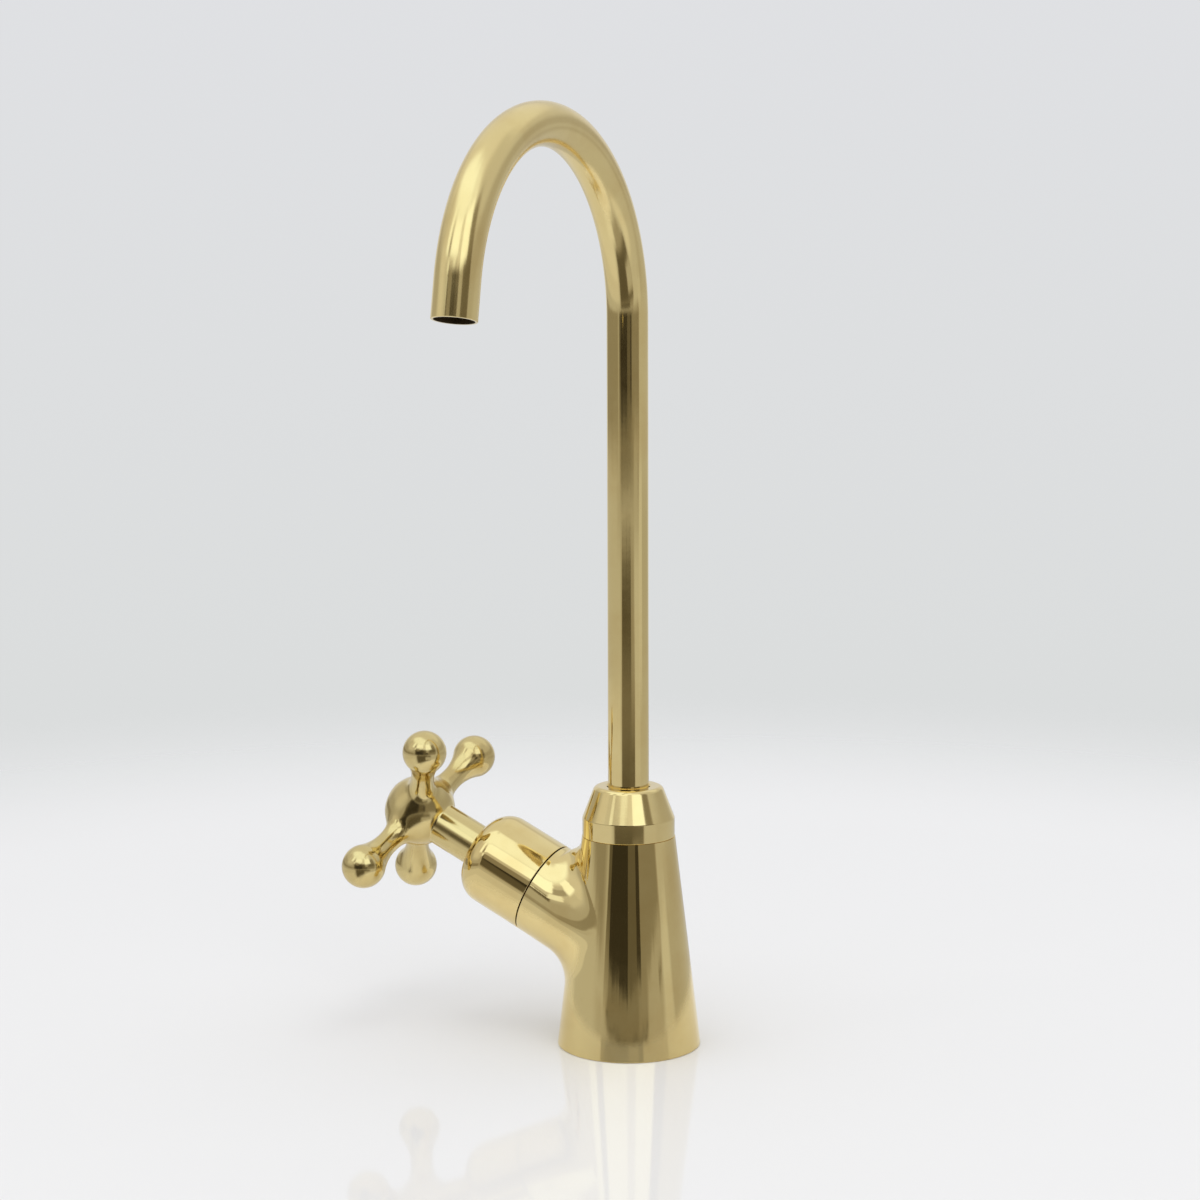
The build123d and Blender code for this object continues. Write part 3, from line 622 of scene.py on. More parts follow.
class TAP_OT_shroud(bpy.types.Operator):
    """Models the domed shroud over the valve's headwork"""

    bl_idname = "tap.shroud"
    bl_label = "Shroud"

    def execute(self, context):
        shape = bmesh.new()
        rounding = context.scene.tap_form.joint_round / MM
        inner = SHROUD_RADIUS - SHROUD_WALL
        opening = NECK_RADIUS + NECK_GAP
        soft = (SHROUD_SHOULDER - SHROUD_WALL) / 2
        start = shape.verts.new((inner, 0, 0))
        last = line(shape, start, SHROUD_RADIUS - rounding, 0.0)
        last = arc(shape, last, (SHROUD_RADIUS - rounding, rounding), -90, EDGE_STEPS)
        last = line(shape, last, SHROUD_RADIUS, SHROUD_LENGTH - SHROUD_SHOULDER)
        centre = (SHROUD_RADIUS - SHROUD_SHOULDER, SHROUD_LENGTH - SHROUD_SHOULDER)
        last = arc(shape, last, centre, -SHOULDER_ANGLE, DOME_STEPS)
        last = line(shape, last, opening, SHROUD_LENGTH - SHROUD_LIP)
        last = line(shape, last, opening, SHROUD_LENGTH - SHROUD_FRONT)
        last = line(shape, last, inner - soft, SHROUD_LENGTH - SHROUD_FRONT)
        last = line(shape, last, inner, SHROUD_LENGTH - SHROUD_FRONT - soft)
        shape.edges.new((last, start))
        turn(shape, TURNED_STEPS)
        made = piece(
            "shroud_dome", shape,
            VALVE_FRAME @ Matrix.Translation((0, 0, BRANCH_LENGTH + SHROUD_GAP)),
            bpy.data.materials["Brass buffed shroud"], "tap_body", "shroud_brass", "shroud",
        )
        weighted_normals(made)
        return {"FINISHED"}


class TAP_OT_handle(bpy.types.Operator):
    """Models the cross handle: hub, arms, balls and the hollow neck"""

    bl_idname = "tap.handle"
    bl_label = "Cross handle"

    def execute(self, context):
        finish = bpy.data.materials["Brass buffed handle"]
        shape = bmesh.new()
        around, upwards = ROUGH_BALL_STEPS
        bmesh.ops.create_uvsphere(
            shape, u_segments=around, v_segments=upwards, radius=HUB_RADIUS,
            matrix=Matrix.Translation(HUB_CENTRE),
        )
        for arm in range(ARM_COUNT):
            way = arm_direction(arm)
            turned = way.to_track_quat("Z", "Y").to_matrix().to_4x4()
            bmesh.ops.create_cone(
                shape, cap_ends=True, segments=ROUGH_ARM_STEPS, radius1=WAIST_RADIUS + ROUGH_ROOT,
                radius2=WAIST_RADIUS, depth=BALL_DISTANCE,
                matrix=Matrix.Translation(HUB_CENTRE + way * BALL_DISTANCE / 2) @ turned,
            )
            bmesh.ops.create_uvsphere(
                shape, u_segments=around, v_segments=upwards, radius=BALL_RADIUS,
                matrix=Matrix.Translation(HUB_CENTRE + way * BALL_DISTANCE),
            )
        remeshed(shape, STAR_VOXEL * context.scene.tap_form.grain / MM)
        settle(shape, star_distance, STAR_ROUNDS)
        # The round recess that the cap sits in
        rise = math.sqrt(HUB_RADIUS ** 2 - CAP_HOLE_RADIUS ** 2)
        rim = cut_off(shape, HUB_CENTRE + VALVE_AXIS * rise, VALVE_AXIS)
        rim = ring_from(shape, rim, Matrix.Translation(VALVE_AXIS * -CAP_DEPTH))
        bmesh.ops.edgeloop_fill(shape, edges=rim)
        bmesh.ops.recalc_face_normals(shape, faces=shape.faces)
        made = piece(
            "cross_handle_star", shape, Matrix.Identity(4), finish, "handle", "handle_brass",
            "cross_handle",
        )
        true_normals(made.data, star_distance)
        # The hollow neck, with a fillet where it meets the hub
        neck = bmesh.new()
        rounding = context.scene.tap_form.joint_round / MM
        foot = BRANCH_LENGTH + SHROUD_GAP + SHROUD_LENGTH - NECK_IN_SHROUD
        head = HANDLE_DISTANCE - NECK_END
        plug = head - 2.0
        clear = math.sqrt((HUB_CORE + NECK_FILLET) ** 2 - (NECK_RADIUS + NECK_FILLET) ** 2)
        start = neck.verts.new((NECK_BORE, 0, plug))
        last = line(neck, start, NECK_BORE, foot)
        last = line(neck, last, NECK_RADIUS - rounding, foot)
        last = arc(neck, last, (NECK_RADIUS - rounding, foot + rounding), -90, NECK_EDGE_STEPS)
        centre = (NECK_RADIUS + NECK_FILLET, HANDLE_DISTANCE - clear)
        last = line(neck, last, NECK_RADIUS, centre[1])
        last = arc(neck, last, centre, math.degrees(math.atan2(clear, centre[0])), FILLET_STEPS)
        last = line(neck, last, NECK_RADIUS, head)
        last = line(neck, last, 0.0, head)
        last = line(neck, last, 0.0, plug)
        neck.edges.new((last, start))
        turn(neck, NECK_STEPS)
        tube = piece(
            "cross_handle_neck", neck, VALVE_FRAME, finish, "handle", "handle_brass",
            "cross_handle",
        )
        weighted_normals(tube)
        # The cap over the screw, domed to follow the hub, its edge broken half as much
        cap = bmesh.new()
        seat = rise - CAP_DEPTH
        rounding = rounding / 2
        rim = math.sqrt(HUB_RADIUS ** 2 - CAP_RADIUS ** 2)
        start = cap.verts.new((0, 0, seat - CAP_PEG_LENGTH))
        last = line(cap, start, CAP_PEG_RADIUS, seat - CAP_PEG_LENGTH)
        last = line(cap, last, CAP_PEG_RADIUS, seat)
        last = line(cap, last, CAP_RADIUS, seat)
        last = line(cap, last, CAP_RADIUS, rim - rounding)
        last = line(cap, last, CAP_RADIUS - rounding, rim)
        last = arc(
            cap, last, (0.0, 0.0), -math.degrees(math.atan2(CAP_RADIUS - rounding, rim)),
            FILLET_STEPS,
        )
        cap.edges.new((last, start))
        turn(cap, CAP_STEPS)
        lid = piece(
            "index_cap_dome", cap, Matrix.Translation(HUB_CENTRE) @ VALVE_FRAME.to_3x3().to_4x4(),
            finish, "handle", "handle_brass", "index_cap",
        )
        weighted_normals(lid)
        return {"FINISHED"}


class TapFinish(bpy.types.PropertyGroup):
    """Colours and gloss of the tap's finishes."""

    brass: StringProperty(
        name="Brass", description="Polished brass seen face on", default="#EDD89B",
    )
    tarnish: StringProperty(
        name="Tarnish", description="Brass that has begun to brown", default="#DFC484",
    )
    # The handle's brass and tarnish are darker than the body's: painted shade over the whole
    # handle, for its hub and arms shading one another
    shaded_cast_brass: StringProperty(
        name="Handle brass",
        description="The cast handle's brass, a little darker under its hand buffing",
        default="#DECA8F",
    )
    shaded_cast_tarnish: StringProperty(
        name="Handle tarnish", description="The cast handle's brass where it has begun to brown",
        default="#C9AF70",
    )
    polish: share("Polish roughness", "Roughness of the buffed body and shroud", 0.05)
    cast: share("Handle roughness", "Roughness of the hand-buffed cast handle", 0.15)
    tube: share("Tube roughness", "Roughness of the drawn spout below its bend", 0.08)
    bend: share("Bend roughness", "How much rougher the spout is round its bend", 0.12)
    collar: share("Collar roughness", "Roughness of the turned collar", 0.1)


def surface(name):
    """An empty material tree with its object coordinates."""
    material = bpy.data.materials.new(name)
    material.use_nodes = True
    tree = material.node_tree
    tree.nodes.clear()
    return material, tree, add(tree, "ShaderNodeTexCoord").outputs["Object"]


def brass(name, tones, roughness, uneven, grain, depth, duller=0.0, heights=(0.0, 1000.0)):
    """Bare brass, browned in patches of about 25 mm, with fingermarks of about 8 mm in its gloss.

    The buffing wheel's waves, given by how many there are to a metre along x, y and z, draw each
    reflection out a little. The gloss falls off by duller between two heights in millimetres.
    """
    material, tree, place = surface(name)
    cloud = add(
        tree, "ShaderNodeTexNoise",
        {"Vector": place, "Scale": 38.0, "Detail": 4.0, "Roughness": 0.6},
    )
    browned = add(
        tree, "ShaderNodeMapRange",
        {"Value": cloud.outputs["Fac"], "From Min": 0.45, "From Max": 0.8, "To Max": 0.8},
    )
    colour = add(
        tree, "ShaderNodeMix",
        {"Factor": browned.outputs["Result"], 6: linear(tones[0]), 7: linear(tones[1])},
        data_type="RGBA",
    )
    marks = add(
        tree, "ShaderNodeTexNoise",
        {"Vector": place, "Scale": 120.0, "Detail": 5.0, "Roughness": 0.65, "Distortion": 0.6},
    )
    gloss = add(
        tree, "ShaderNodeMapRange",
        {
            "Value": marks.outputs["Fac"], "From Min": 0.35, "From Max": 0.75,
            "To Min": roughness - uneven, "To Max": roughness + uneven,
        },
    )
    rise = add(tree, "ShaderNodeSeparateXYZ", {"Vector": place}).outputs["Z"]
    dulled = add(
        tree, "ShaderNodeMapRange",
        {"Value": rise, "From Min": heights[0] * MM, "From Max": heights[1] * MM, "To Max": duller},
        interpolation_type="SMOOTHSTEP",
    ).outputs["Result"]
    gloss = add(
        tree, "ShaderNodeMath", {0: gloss.outputs["Result"], 1: dulled}, operation="ADD",
    ).outputs[0]
    drawn = add(tree, "ShaderNodeMapping", {"Vector": place, "Scale": grain})
    wheel = add(
        tree, "ShaderNodeTexNoise",
        {"Vector": drawn.outputs["Vector"], "Scale": 1.0, "Detail": 4.0, "Roughness": 0.45},
    )
    relief = add(
        tree, "ShaderNodeBump",
        {"Height": wheel.outputs["Fac"], "Strength": 1.0, "Distance": depth * MM},
    )
    metal = add(
        tree, "ShaderNodeBsdfPrincipled",
        {
            "Base Color": colour.outputs[2], "Metallic": 1.0, "Roughness": gloss,
            "Normal": relief.outputs["Normal"],
        },
    )
    add(tree, "ShaderNodeOutputMaterial", {"Surface": metal.outputs["BSDF"]})
    return material


def plain(name, light, dark, metallic, roughness, grain, depth):
    """A workaday finish: two close tones in a grain of so many millimetres, and a fine relief."""
    material, tree, place = surface(name)
    speckle = add(
        tree, "ShaderNodeTexNoise", {"Vector": place, "Scale": 1 / (grain * MM), "Detail": 4.0},
    )
    colour = add(
        tree, "ShaderNodeMix",
        {"Factor": speckle.outputs["Fac"], 6: linear(light), 7: linear(dark)}, data_type="RGBA",
    )
    gloss = add(
        tree, "ShaderNodeMapRange",
        {"Value": speckle.outputs["Fac"], "To Min": roughness - 0.06, "To Max": roughness + 0.06},
    )
    relief = add(
        tree, "ShaderNodeBump",
        {"Height": speckle.outputs["Fac"], "Strength": 1.0, "Distance": depth * MM},
    )
    skin = add(
        tree, "ShaderNodeBsdfPrincipled",
        {
            "Base Color": colour.outputs[2], "Metallic": metallic,
            "Roughness": gloss.outputs["Result"], "Normal": relief.outputs["Normal"],
        },
    )
    add(tree, "ShaderNodeOutputMaterial", {"Surface": skin.outputs["BSDF"]})
    return material


# The finish of each part inside the tap that isn't of turned brass
INNER_SLOTS = {
    "base_seal": "rubber", "seat_seal": "rubber",
    "spout_o_ring_lower": "rubber", "spout_o_ring_upper": "rubber",
    "spindle_o_ring_inner": "rubber", "spindle_o_ring_outer": "rubber",
    "spout_slip_ring_lower": "acetal", "spout_slip_ring_upper": "acetal", "thrust_washer": "acetal",
    "fixed_disc": "ceramic", "moving_disc": "ceramic",
    "headwork_washer": "fibre", "circlip": "steel", "handle_screw": "steel",
    "index_cap": "handle_brass",
}


class TAP_OT_finish_parts(bpy.types.Operator):
    """Makes the finishes and gives them to the parts inside the tap"""

    bl_idname = "tap.finish_parts"
    bl_label = "Finishes"

    def execute(self, context):
        finish = context.scene.tap_finish
        bright = (finish.brass, finish.tarnish)
        # The buffing wheel ran up and down, so its waves are about 8 mm across and 80 mm long
        brass("Brass buffed body", bright, finish.polish, 0.015, (120.0, 120.0, 12.0), 0.03)
        # Turned and buffed, so its waves of about 12 mm are shallow
        brass("Brass buffed shroud", bright, finish.polish, 0.015, (80.0, 80.0, 80.0), 0.012)
        # Lathe lines of 0.4 mm round the collar smear its reflections up and down
        brass("Brass turned collar", bright, finish.collar, 0.02, (30.0, 30.0, 2500.0), 0.002)
        # Drawn tube with the slight waves of the bending die, duller round the bend, which was
        # buffed by hand
        brass(
            "Brass drawn tube", bright, finish.tube, 0.02, (110.0, 110.0, 60.0), 0.02, finish.bend,
            (240.0, 320.0),
        )
        # Cast and buffed by hand, with soft dents of about 15 mm, in darker tones that are painted
        # shade for the hub and arms shading one another
        brass(
            "Brass buffed handle", (finish.shaded_cast_brass, finish.shaded_cast_tarnish), finish.cast, 0.03,
            (65.0, 65.0, 65.0), 0.05,
        )
        # The tube's bore: brass left dull, in a dark brown that is painted shade for the deep
        # inside of the tube
        plain("Brass bore painted shade", "#5A4626", "#2E2413", 0.6, 0.55, 1.2, 0.01)
        kinds = {
            # Turned and left bright, with lathe marks too fine to count
            "inner_brass": plain("Brass as turned", "#E6C987", "#C9A560", 1.0, 0.3, 0.8, 0.004),
            # Moulded rubber, black with a bloom of talc
            "rubber": plain("Rubber moulded", "#1C1C1D", "#2A2A2B", 0.0, 0.62, 0.5, 0.01),
            # Moulded acetal, milk white and waxy
            "acetal": plain("Acetal moulded", "#EDEBE2", "#E2DFD3", 0.0, 0.38, 1.5, 0.004),
            # Lapped alumina, white and glassy
            "ceramic": plain("Alumina lapped", "#F2F0EA", "#E8E5DC", 0.0, 0.16, 0.6, 0.001),
            # Pressed vulcanised fibre, red brown and dry
            "fibre": plain("Vulcanised fibre", "#8A3B2A", "#6E2C20", 0.0, 0.7, 0.4, 0.02),
            # Spring steel and screw steel, grey with an oily gloss
            "steel": plain("Stainless steel turned", "#C9CACC", "#A9ABAE", 1.0, 0.28, 0.7, 0.003),
            "handle_brass": bpy.data.materials["Brass buffed handle"],
        }
        for name, part in NODES.items():
            part.data.materials.clear()
            part.data.materials.append(kinds[INNER_SLOTS.get(name, "inner_brass")])
        return {"FINISHED"}


class TapStage(bpy.types.PropertyGroup):
    """Light and background."""

    level: FloatProperty(
        name="Room light",
        description="Strength of the room that lights the tap and that its metal mirrors",
        default=1.0, min=0.0, max=5.0,
    )
    softbox: FloatProperty(
        name="Softbox", description="Power of the softbox over the floor", default=6.0, min=0.0,
        max=100.0, subtype="POWER", unit="POWER",
    )
    floor: StringProperty(
        name="Floor", description="Colour of the gloss board under the tap", default="#F6F6F7",
    )
    wall_low: StringProperty(
        name="Backdrop below", description="Colour of the backdrop at the horizon",
        default="#DBDDDD",
    )
    wall_high: StringProperty(
        name="Backdrop above", description="Colour of the backdrop over the tap", default="#E0E1E4",
    )
    shade: StringProperty(
        name="Dark end", description="Tint of the room where it is dark", default="#FFEFCC",
    )
    window: StringProperty(
        name="Windows", description="Tint of the windows in the metal", default="#EFF9FF",
    )
    floor_radius: length(
        "Floor radius", "How far the board reaches before it has melted into the backdrop", 840.0,
    )


# Metres from the tap: where the board starts to melt into the backdrop, and where the metal
# leaves off mirroring it
FLOOR_WHOLE = 0.4
MIRROR_NEAR, MIRROR_FAR = 0.1, 0.16
# Gloss board: a thin clear coat over white card
BOARD_ROUGHNESS = 0.05
BOARD_IOR = 1.36

# Metres
SOFTBOX_PLACE = Vector((0.45, -0.1, 2.2))
SOFTBOX_SIZE = (1.2, 0.9)

# The camera, found from the photograph's perspective: degrees, metres and millimetres of lens
CAMERA_TURN = 24.6355
CAMERA_PITCH = 6.864
CAMERA_PAN = -0.675
CAMERA_ROLL = 0.21
CAMERA_DISTANCE = 0.864204
CAMERA_HEIGHT = 0.269296
SENSOR_WIDTH = 36.0
FRAME_PIXELS = 1200.0
FOCAL_PIXELS = 2395.7
CAMERA_LENS = SENSOR_WIDTH * FOCAL_PIXELS / FRAME_PIXELS

# The room's own grey, and how far its edges stray, in degrees sideways and upwards
ROOM_GREY = 0.47
ROOM_STRAY = (6.0, 1.2, 0.0)
# Degrees up from the horizon over which the backdrop grows lighter
BACKDROP_FADE = (-9, 9)
# Degrees over which the backdrop fades in the metal: round from the camera, at its foot, at its top
BACKDROP_SIDE = (143, 156)
BACKDROP_FOOT = (-11, -5)
BACKDROP_TOP = (30, 18)
# The room's brightness over which its tint goes from warm to plain, and from plain to cool
WARM_TO_PLAIN = (0.05, 0.55)
PLAIN_TO_COOL = (0.75, 1.25)


def camera_matrix():
    """The camera's place and turn, found from the photograph's own perspective."""
    turn, pitch = math.radians(CAMERA_TURN), math.radians(CAMERA_PITCH)
    pan, roll = math.radians(CAMERA_PAN), math.radians(CAMERA_ROLL)
    forward = Vector(
        (math.sin(pan) * math.cos(pitch), math.cos(pan) * math.cos(pitch), -math.sin(pitch))
    )
    right = forward.cross(Vector((0, 0, 1))).normalized()
    up = right.cross(forward)
    right, up = (
        right * math.cos(roll) - up * math.sin(roll), up * math.cos(roll) + right * math.sin(roll),
    )
    rotation = Matrix.Rotation(turn, 3, "Z")
    axes = Matrix((rotation @ right, rotation @ up, rotation @ -forward)).transposed()
    place = rotation @ Vector((0, -CAMERA_DISTANCE, CAMERA_HEIGHT))
    return Matrix.Translation(place) @ axes.to_4x4()


# The room that the metal mirrors. For each panel: left, right, low and high edges in degrees round
# from the camera and up from the horizon, how soft those edges are sideways and upwards, and the
# panel's brightness. Later panels cover earlier ones.
ROOM_PANELS = (
    # The pale backdrop behind the tap, the walls, the table and the ceiling
    (148, 212, -6, 24, (18, 10), 0.8),
    (-212, -140, -30, 24, (22, 16), 0.75),
    (-148, -52, -3.2, 3, (14, 1.6), 0.3),
    (58, 150, -4, 4, (10, 3), 0.54),
    (-240, 240, -120, -10, (10, 8), 0.57),
    (-240, -45, -120, -18, (10, 14), 0.76),
    (-150, -42, -22, -8, (8, 3), 0.68),
    (-150, -42, -9, -3.6, (8, 1.2), 0.54),
    (44, 72, -62, -26, (10, 10), 0.76),
    (34, 72, -17, -5.2, (8, 2.4), 0.58),
    (-76, -16, -76, -50, (14, 12), 0.85),
    (-240, 240, 20, 120, (10, 12), 0.64),
    (112, 248, 34, 70, (20, 10), 0.86),
    (-240, -112, 34, 70, (20, 10), 0.8),
    (-240, 240, 62, 120, (10, 20), 0.82),
    (-95, -62, 12, 48, (20, 14), 0.74),
    # The softbox over the camera
    (-120, 30, 48, 84, (24, 14), 1.35),
    (20, 52, 46, 74, (16, 16), 1.1),
    # The dark end of the room, behind and below the camera
    (-46, 18, -3, 24, (2, 4), 0.12),
    (-36, 38, -46, -9, (6, 5), 0.12),
    (-34, 18, -9, -5.2, (8, 3), 0.1),
    (18, 33, -9, -5, (8, 3), 0.34),
    (10, 38, -31, -14, (6, 5), 0.5),
    (-26, 30, -64, -44, (8, 10), 0.38),
    (14, 66, -4, 14, (6, 3), 0.27),
    (30, 66, 8, 24, (4, 6), 0.16),
    (-40, -22, 15, 24, (6, 3), 0.29),
    (-39, -1, -2.75, 15, (1.5, 0.3), 0.04),
    (-22, 0, 12, 22, (1.5, 2), 0.08),
    (-1, 15, -2.6, 6, (2, 0.5), 0.13),
    (15, 23, -2.4, 6, (1.5, 0.5), 0.05),
    # The near edge of the table, with a dark rail along it
    (-38, 18, -4.1, -2.75, (4, 0.3), 0.24),
    (18, 34, -4.1, -2.6, (4, 0.4), 0.3),
    (34, 64, -5.2, -2.6, (5, 0.6), 0.44),
    (56, 64, -4.1, -3.6, (3, 0.3), 0.22),
    (64, 84, -9, -3.4, (8, 1.2), 0.62),
    (-60, 60, -5.4, -4.1, (20, 0.5), 0.46),
    (-41, 32, -4.02, -3.78, (4, 0.15), 0.1),
    (14, 30, 9, 22, (4, 3), 0.45),
    # Windows between the softbox and the dark, with their frames
    (-66, -56, 14, 32, (3, 6), 0.66),
    (-72, -58, 28, 50, (3, 5), 1.42),
    (-46, -2, 30, 50, (4, 3), 1.46),
    (-24, -10, 25, 31, (5, 3), 1.1),
    (-2, 12, 24, 50, (3, 8), 0.88),
    (12, 45, 22, 50, (3, 5), 1.5),
    (-57, -46, 29, 38, (2, 3), 0.43),
    (-53, -44, 21, 28.5, (2, 2), 1.1),
    (46, 66, 18, 42, (8, 10), 0.27),
)


def between(edges):
    """The two ends of a Map Range node's input, from degrees."""
    return {"From Min": math.radians(edges[0]), "From Max": math.radians(edges[1])}


def studio_world(world, stage):
    """A room for the metal to mirror: pale behind the tap and above, dark round the camera."""
    world.use_nodes = True
    tree = world.node_tree
    tree.nodes.clear()
    ray = add(tree, "ShaderNodeTexCoord").outputs["Generated"]
    turned = add(
        tree, "ShaderNodeVectorRotate",
        {"Vector": ray, "Axis": (0, 0, 1), "Angle": -math.radians(CAMERA_TURN)},
    )
    parts = add(tree, "ShaderNodeSeparateXYZ", {"Vector": turned.outputs["Vector"]})
    minus_y = add(tree, "ShaderNodeMath", {0: parts.outputs["Y"], 1: -1.0}, operation="MULTIPLY")
    side = add(
        tree, "ShaderNodeMath", {0: parts.outputs["X"], 1: minus_y.outputs[0]}, operation="ARCTAN2",
    ).outputs[0]
    height = add(tree, "ShaderNodeMath", {0: parts.outputs["Z"]}, operation="ARCSINE").outputs[0]
    way = add(tree, "ShaderNodeCombineXYZ", {"X": side, "Y": height}).outputs[0]
    degrees = add(
        tree, "ShaderNodeVectorMath", {0: way, "Scale": math.degrees(1)}, operation="SCALE",
    ).outputs[0]
    # The room's edges aren't ruled straight
    stray = add(
        tree, "ShaderNodeTexNoise", {"Vector": ray, "Scale": 9.0, "Detail": 4.0, "Roughness": 0.6},
    )
    centred = add(
        tree, "ShaderNodeVectorMath", {0: stray.outputs["Color"], 1: (0.5, 0.5, 0.5)},
        operation="SUBTRACT",
    ).outputs[0]
    place = add(
        tree, "ShaderNodeVectorMath", {0: centred, 1: ROOM_STRAY, 2: degrees},
        operation="MULTIPLY_ADD",
    ).outputs[0]

    def paint(room, left, right, low, high, soft, brightness):
        """Paints one panel over the room."""
        middle = ((left + right) / 2, (low + high) / 2, 0)
        off = add(
            tree, "ShaderNodeVectorMath", {0: place, 1: middle}, operation="SUBTRACT",
        ).outputs[0]
        off = add(tree, "ShaderNodeVectorMath", {0: off}, operation="ABSOLUTE").outputs[0]
        far = ((right - left + soft[0]) / 2, (high - low + soft[1]) / 2, 1)
        near = ((right - left - soft[0]) / 2, (high - low - soft[1]) / 2, 0)
        inside = add(
            tree, "ShaderNodeMapRange",
            {"Vector": off, 7: far, 8: near, 9: (0, 0, 0), 10: (1, 1, 1)}, data_type="FLOAT_VECTOR",
            interpolation_type="SMOOTHSTEP",
        ).outputs["Vector"]
        inside = add(tree, "ShaderNodeSeparateXYZ", {"Vector": inside})
        mask = add(
            tree, "ShaderNodeMath", {0: inside.outputs["X"], 1: inside.outputs["Y"]},
            operation="MULTIPLY",
        ).outputs[0]
        return add(
            tree, "ShaderNodeMix", {"Factor": mask, "A": room, "B": brightness}, data_type="FLOAT",
        ).outputs["Result"]

    room = ROOM_GREY
    for left, right, low, high, soft, brightness in ROOM_PANELS:
        room = paint(room, left, right, low, high, soft, brightness)
    # The camera sees a plain pale backdrop, lighter towards the top
    upper = add(
        tree, "ShaderNodeMapRange", {"Value": height, **between(BACKDROP_FADE)},
    ).outputs["Result"]
    wall = add(
        tree, "ShaderNodeMix",
        {"Factor": upper, 6: linear(stage.wall_low), 7: linear(stage.wall_high)}, data_type="RGBA",
    ).outputs[2]
    # Metal and anything clear show that backdrop too, where it stands behind the tap
    rays = add(tree, "ShaderNodeLightPath").outputs
    passing = add(
        tree, "ShaderNodeMath", {0: rays["Is Glossy Ray"], 1: rays["Is Transmission Ray"]},
        operation="MAXIMUM",
    ).outputs[0]
    turned_away = add(tree, "ShaderNodeMath", {0: side}, operation="ABSOLUTE").outputs[0]
    behind = add(
        tree, "ShaderNodeMapRange", {"Value": turned_away, **between(BACKDROP_SIDE)},
        interpolation_type="SMOOTHSTEP",
    ).outputs["Result"]
    standing = add(
        tree, "ShaderNodeMapRange", {"Value": height, **between(BACKDROP_FOOT)},
        interpolation_type="SMOOTHSTEP",
    ).outputs["Result"]
    under = add(
        tree, "ShaderNodeMapRange", {"Value": height, **between(BACKDROP_TOP)},
        interpolation_type="SMOOTHSTEP",
    ).outputs["Result"]
    behind = add(tree, "ShaderNodeMath", {0: behind, 1: standing}, operation="MULTIPLY").outputs[0]
    behind = add(tree, "ShaderNodeMath", {0: behind, 1: under}, operation="MULTIPLY").outputs[0]
    mirrored = add(tree, "ShaderNodeMath", {0: passing, 1: behind}, operation="MULTIPLY").outputs[0]
    shown = add(
        tree, "ShaderNodeMath", {0: rays["Is Camera Ray"], 1: mirrored}, operation="MAXIMUM",
    ).outputs[0]
    # The dark end of the room is warm
    dim = add(
        tree, "ShaderNodeMapRange",
        {"Value": room, "From Min": WARM_TO_PLAIN[0], "From Max": WARM_TO_PLAIN[1]},
    ).outputs["Result"]
    tint = add(
        tree, "ShaderNodeMix", {"Factor": dim, 6: linear(stage.shade), 7: linear("#FFFFFF")},
        data_type="RGBA",
    ).outputs[2]
    # The windows are cool, which takes some of the yellow out of the metal's highlights
    bright = add(
        tree, "ShaderNodeMapRange",
        {"Value": room, "From Min": PLAIN_TO_COOL[0], "From Max": PLAIN_TO_COOL[1]},
    ).outputs["Result"]
    bright = add(tree, "ShaderNodeMath", {0: bright, 1: passing}, operation="MULTIPLY").outputs[0]
    tint = add(
        tree, "ShaderNodeMix", {"Factor": bright, 6: tint, 7: linear(stage.window)},
        data_type="RGBA",
    ).outputs[2]
    lit = add(tree, "ShaderNodeMath", {0: room, 1: stage.level}, operation="MULTIPLY").outputs[0]
    colour = add(
        tree, "ShaderNodeMix", {"Factor": shown, 6: tint, 7: wall}, data_type="RGBA",
    ).outputs[2]
    strength = add(
        tree, "ShaderNodeMix", {"Factor": shown, "A": lit, "B": 1.0}, data_type="FLOAT",
    ).outputs["Result"]
    light = add(tree, "ShaderNodeBackground", {"Color": colour, "Strength": strength})
    add(tree, "ShaderNodeOutputWorld", {"Surface": light.outputs[0]})


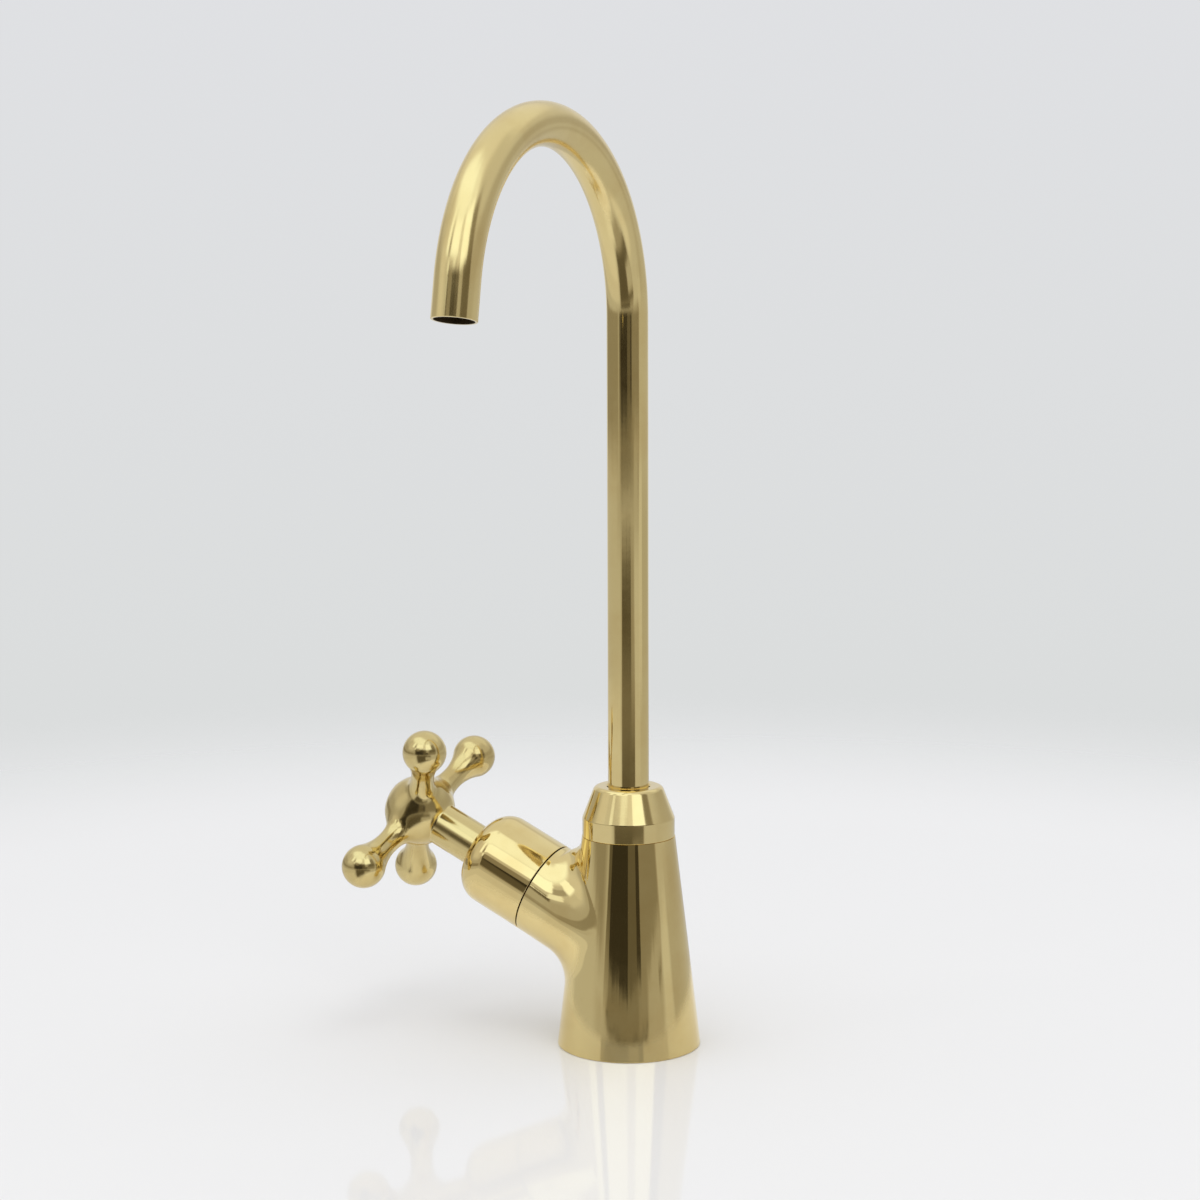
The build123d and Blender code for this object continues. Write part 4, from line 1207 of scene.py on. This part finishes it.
class TAP_OT_stage(bpy.types.Operator):
    """Sets the floor, the studio light and the camera"""

    bl_idname = "tap.stage"
    bl_label = "Set the stage"

    def execute(self, context):
        scene = context.scene
        stage = scene.tap_stage
        scene.view_settings.view_transform = "Standard"
        world = bpy.data.worlds.new("Studio")
        scene.world = world
        studio_world(world, stage)
        sheet = bmesh.new()
        bmesh.ops.create_circle(sheet, cap_ends=True, segments=96, radius=stage.floor_radius)
        mesh = bpy.data.meshes.new("studio_floor")
        sheet.to_mesh(mesh)
        sheet.free()
        floor = bpy.data.objects.new("studio_floor", mesh)
        scene.collection.objects.link(floor)
        material = bpy.data.materials.new("White gloss board")
        material.use_nodes = True
        tree = material.node_tree
        tree.nodes.clear()
        place = add(tree, "ShaderNodeTexCoord").outputs["Object"]
        reach = add(tree, "ShaderNodeVectorMath", {0: place}, operation="LENGTH").outputs["Value"]
        fade = add(
            tree, "ShaderNodeMapRange",
            {"Value": reach, "From Min": FLOOR_WHOLE, "From Max": stage.floor_radius},
            interpolation_type="SMOOTHSTEP",
        ).outputs["Result"]
        # The metal mirrors the board close by, and beyond that the room's own table
        close = add(
            tree, "ShaderNodeMapRange",
            {"Value": reach, "From Min": MIRROR_NEAR, "From Max": MIRROR_FAR},
            interpolation_type="SMOOTHSTEP",
        ).outputs["Result"]
        glossy = add(tree, "ShaderNodeLightPath").outputs["Is Glossy Ray"]
        edge = add(tree, "ShaderNodeMath", {0: close, 1: glossy}, operation="MULTIPLY").outputs[0]
        fade = add(tree, "ShaderNodeMath", {0: fade, 1: edge}, operation="MAXIMUM").outputs[0]
        board = add(
            tree, "ShaderNodeBsdfPrincipled",
            {"Base Color": linear(stage.floor), "Roughness": BOARD_ROUGHNESS, "IOR": BOARD_IOR},
        )
        clear = add(tree, "ShaderNodeBsdfTransparent")
        mixed = add(
            tree, "ShaderNodeMixShader", {0: fade, 1: board.outputs[0], 2: clear.outputs[0]},
        )
        add(tree, "ShaderNodeOutputMaterial", {"Surface": mixed.outputs[0]})
        mesh.materials.append(material)
        lamp = bpy.data.lights.new("Softbox", "AREA")
        lamp.shape = "RECTANGLE"
        lamp.size, lamp.size_y = SOFTBOX_SIZE
        lamp.energy = stage.softbox
        box = bpy.data.objects.new("Softbox", lamp)
        box.matrix_world = Matrix.Translation(
            SOFTBOX_PLACE
        ) @ SOFTBOX_PLACE.to_track_quat("Z", "Y").to_matrix().to_4x4()
        # Seen by the pale floor alone: the metal mirrors the room's own softbox
        box.visible_glossy = False
        scene.collection.objects.link(box)
        view = bpy.data.cameras.new("Camera")
        view.sensor_width = SENSOR_WIDTH
        view.lens = CAMERA_LENS
        camera = bpy.data.objects.new("Camera", view)
        camera.matrix_world = camera_matrix()
        scene.collection.objects.link(camera)
        scene.camera = camera
        return {"FINISHED"}


class TAP_PT_tools(bpy.types.Panel):
    """Buttons for the tap's pieces and its stage"""

    bl_idname = "TAP_PT_tools"
    bl_label = "Cold water tap"
    bl_space_type = "VIEW_3D"
    bl_region_type = "UI"
    bl_category = "Tap"

    def draw(self, context):
        scene = context.scene
        for group in (scene.tap_form, scene.tap_finish, scene.tap_stage):
            column = self.layout.column(align=True)
            for name in group.__annotations__:
                column.prop(group, name)
        for operator in OPERATORS:
            self.layout.operator(operator.bl_idname)


OPERATORS = (
    TAP_OT_finish_parts, TAP_OT_body, TAP_OT_collar, TAP_OT_spout, TAP_OT_shroud, TAP_OT_handle,
    TAP_OT_stage,
)
CLASSES = (TapForm, TapFinish, TapStage, *OPERATORS, TAP_PT_tools)


def register():
    for item in CLASSES:
        bpy.utils.register_class(item)
    bpy.types.Scene.tap_form = PointerProperty(type=TapForm)
    bpy.types.Scene.tap_finish = PointerProperty(type=TapFinish)
    bpy.types.Scene.tap_stage = PointerProperty(type=TapStage)


def unregister():
    del bpy.types.Scene.tap_stage
    del bpy.types.Scene.tap_finish
    del bpy.types.Scene.tap_form
    for item in reversed(CLASSES):
        bpy.utils.unregister_class(item)


def main():
    register()
    bpy.ops.tap.finish_parts()
    bpy.ops.tap.body()
    bpy.ops.tap.collar()
    bpy.ops.tap.spout()
    bpy.ops.tap.shroud()
    bpy.ops.tap.handle()
    bpy.ops.tap.stage()


if __name__ == "__main__":
    main()
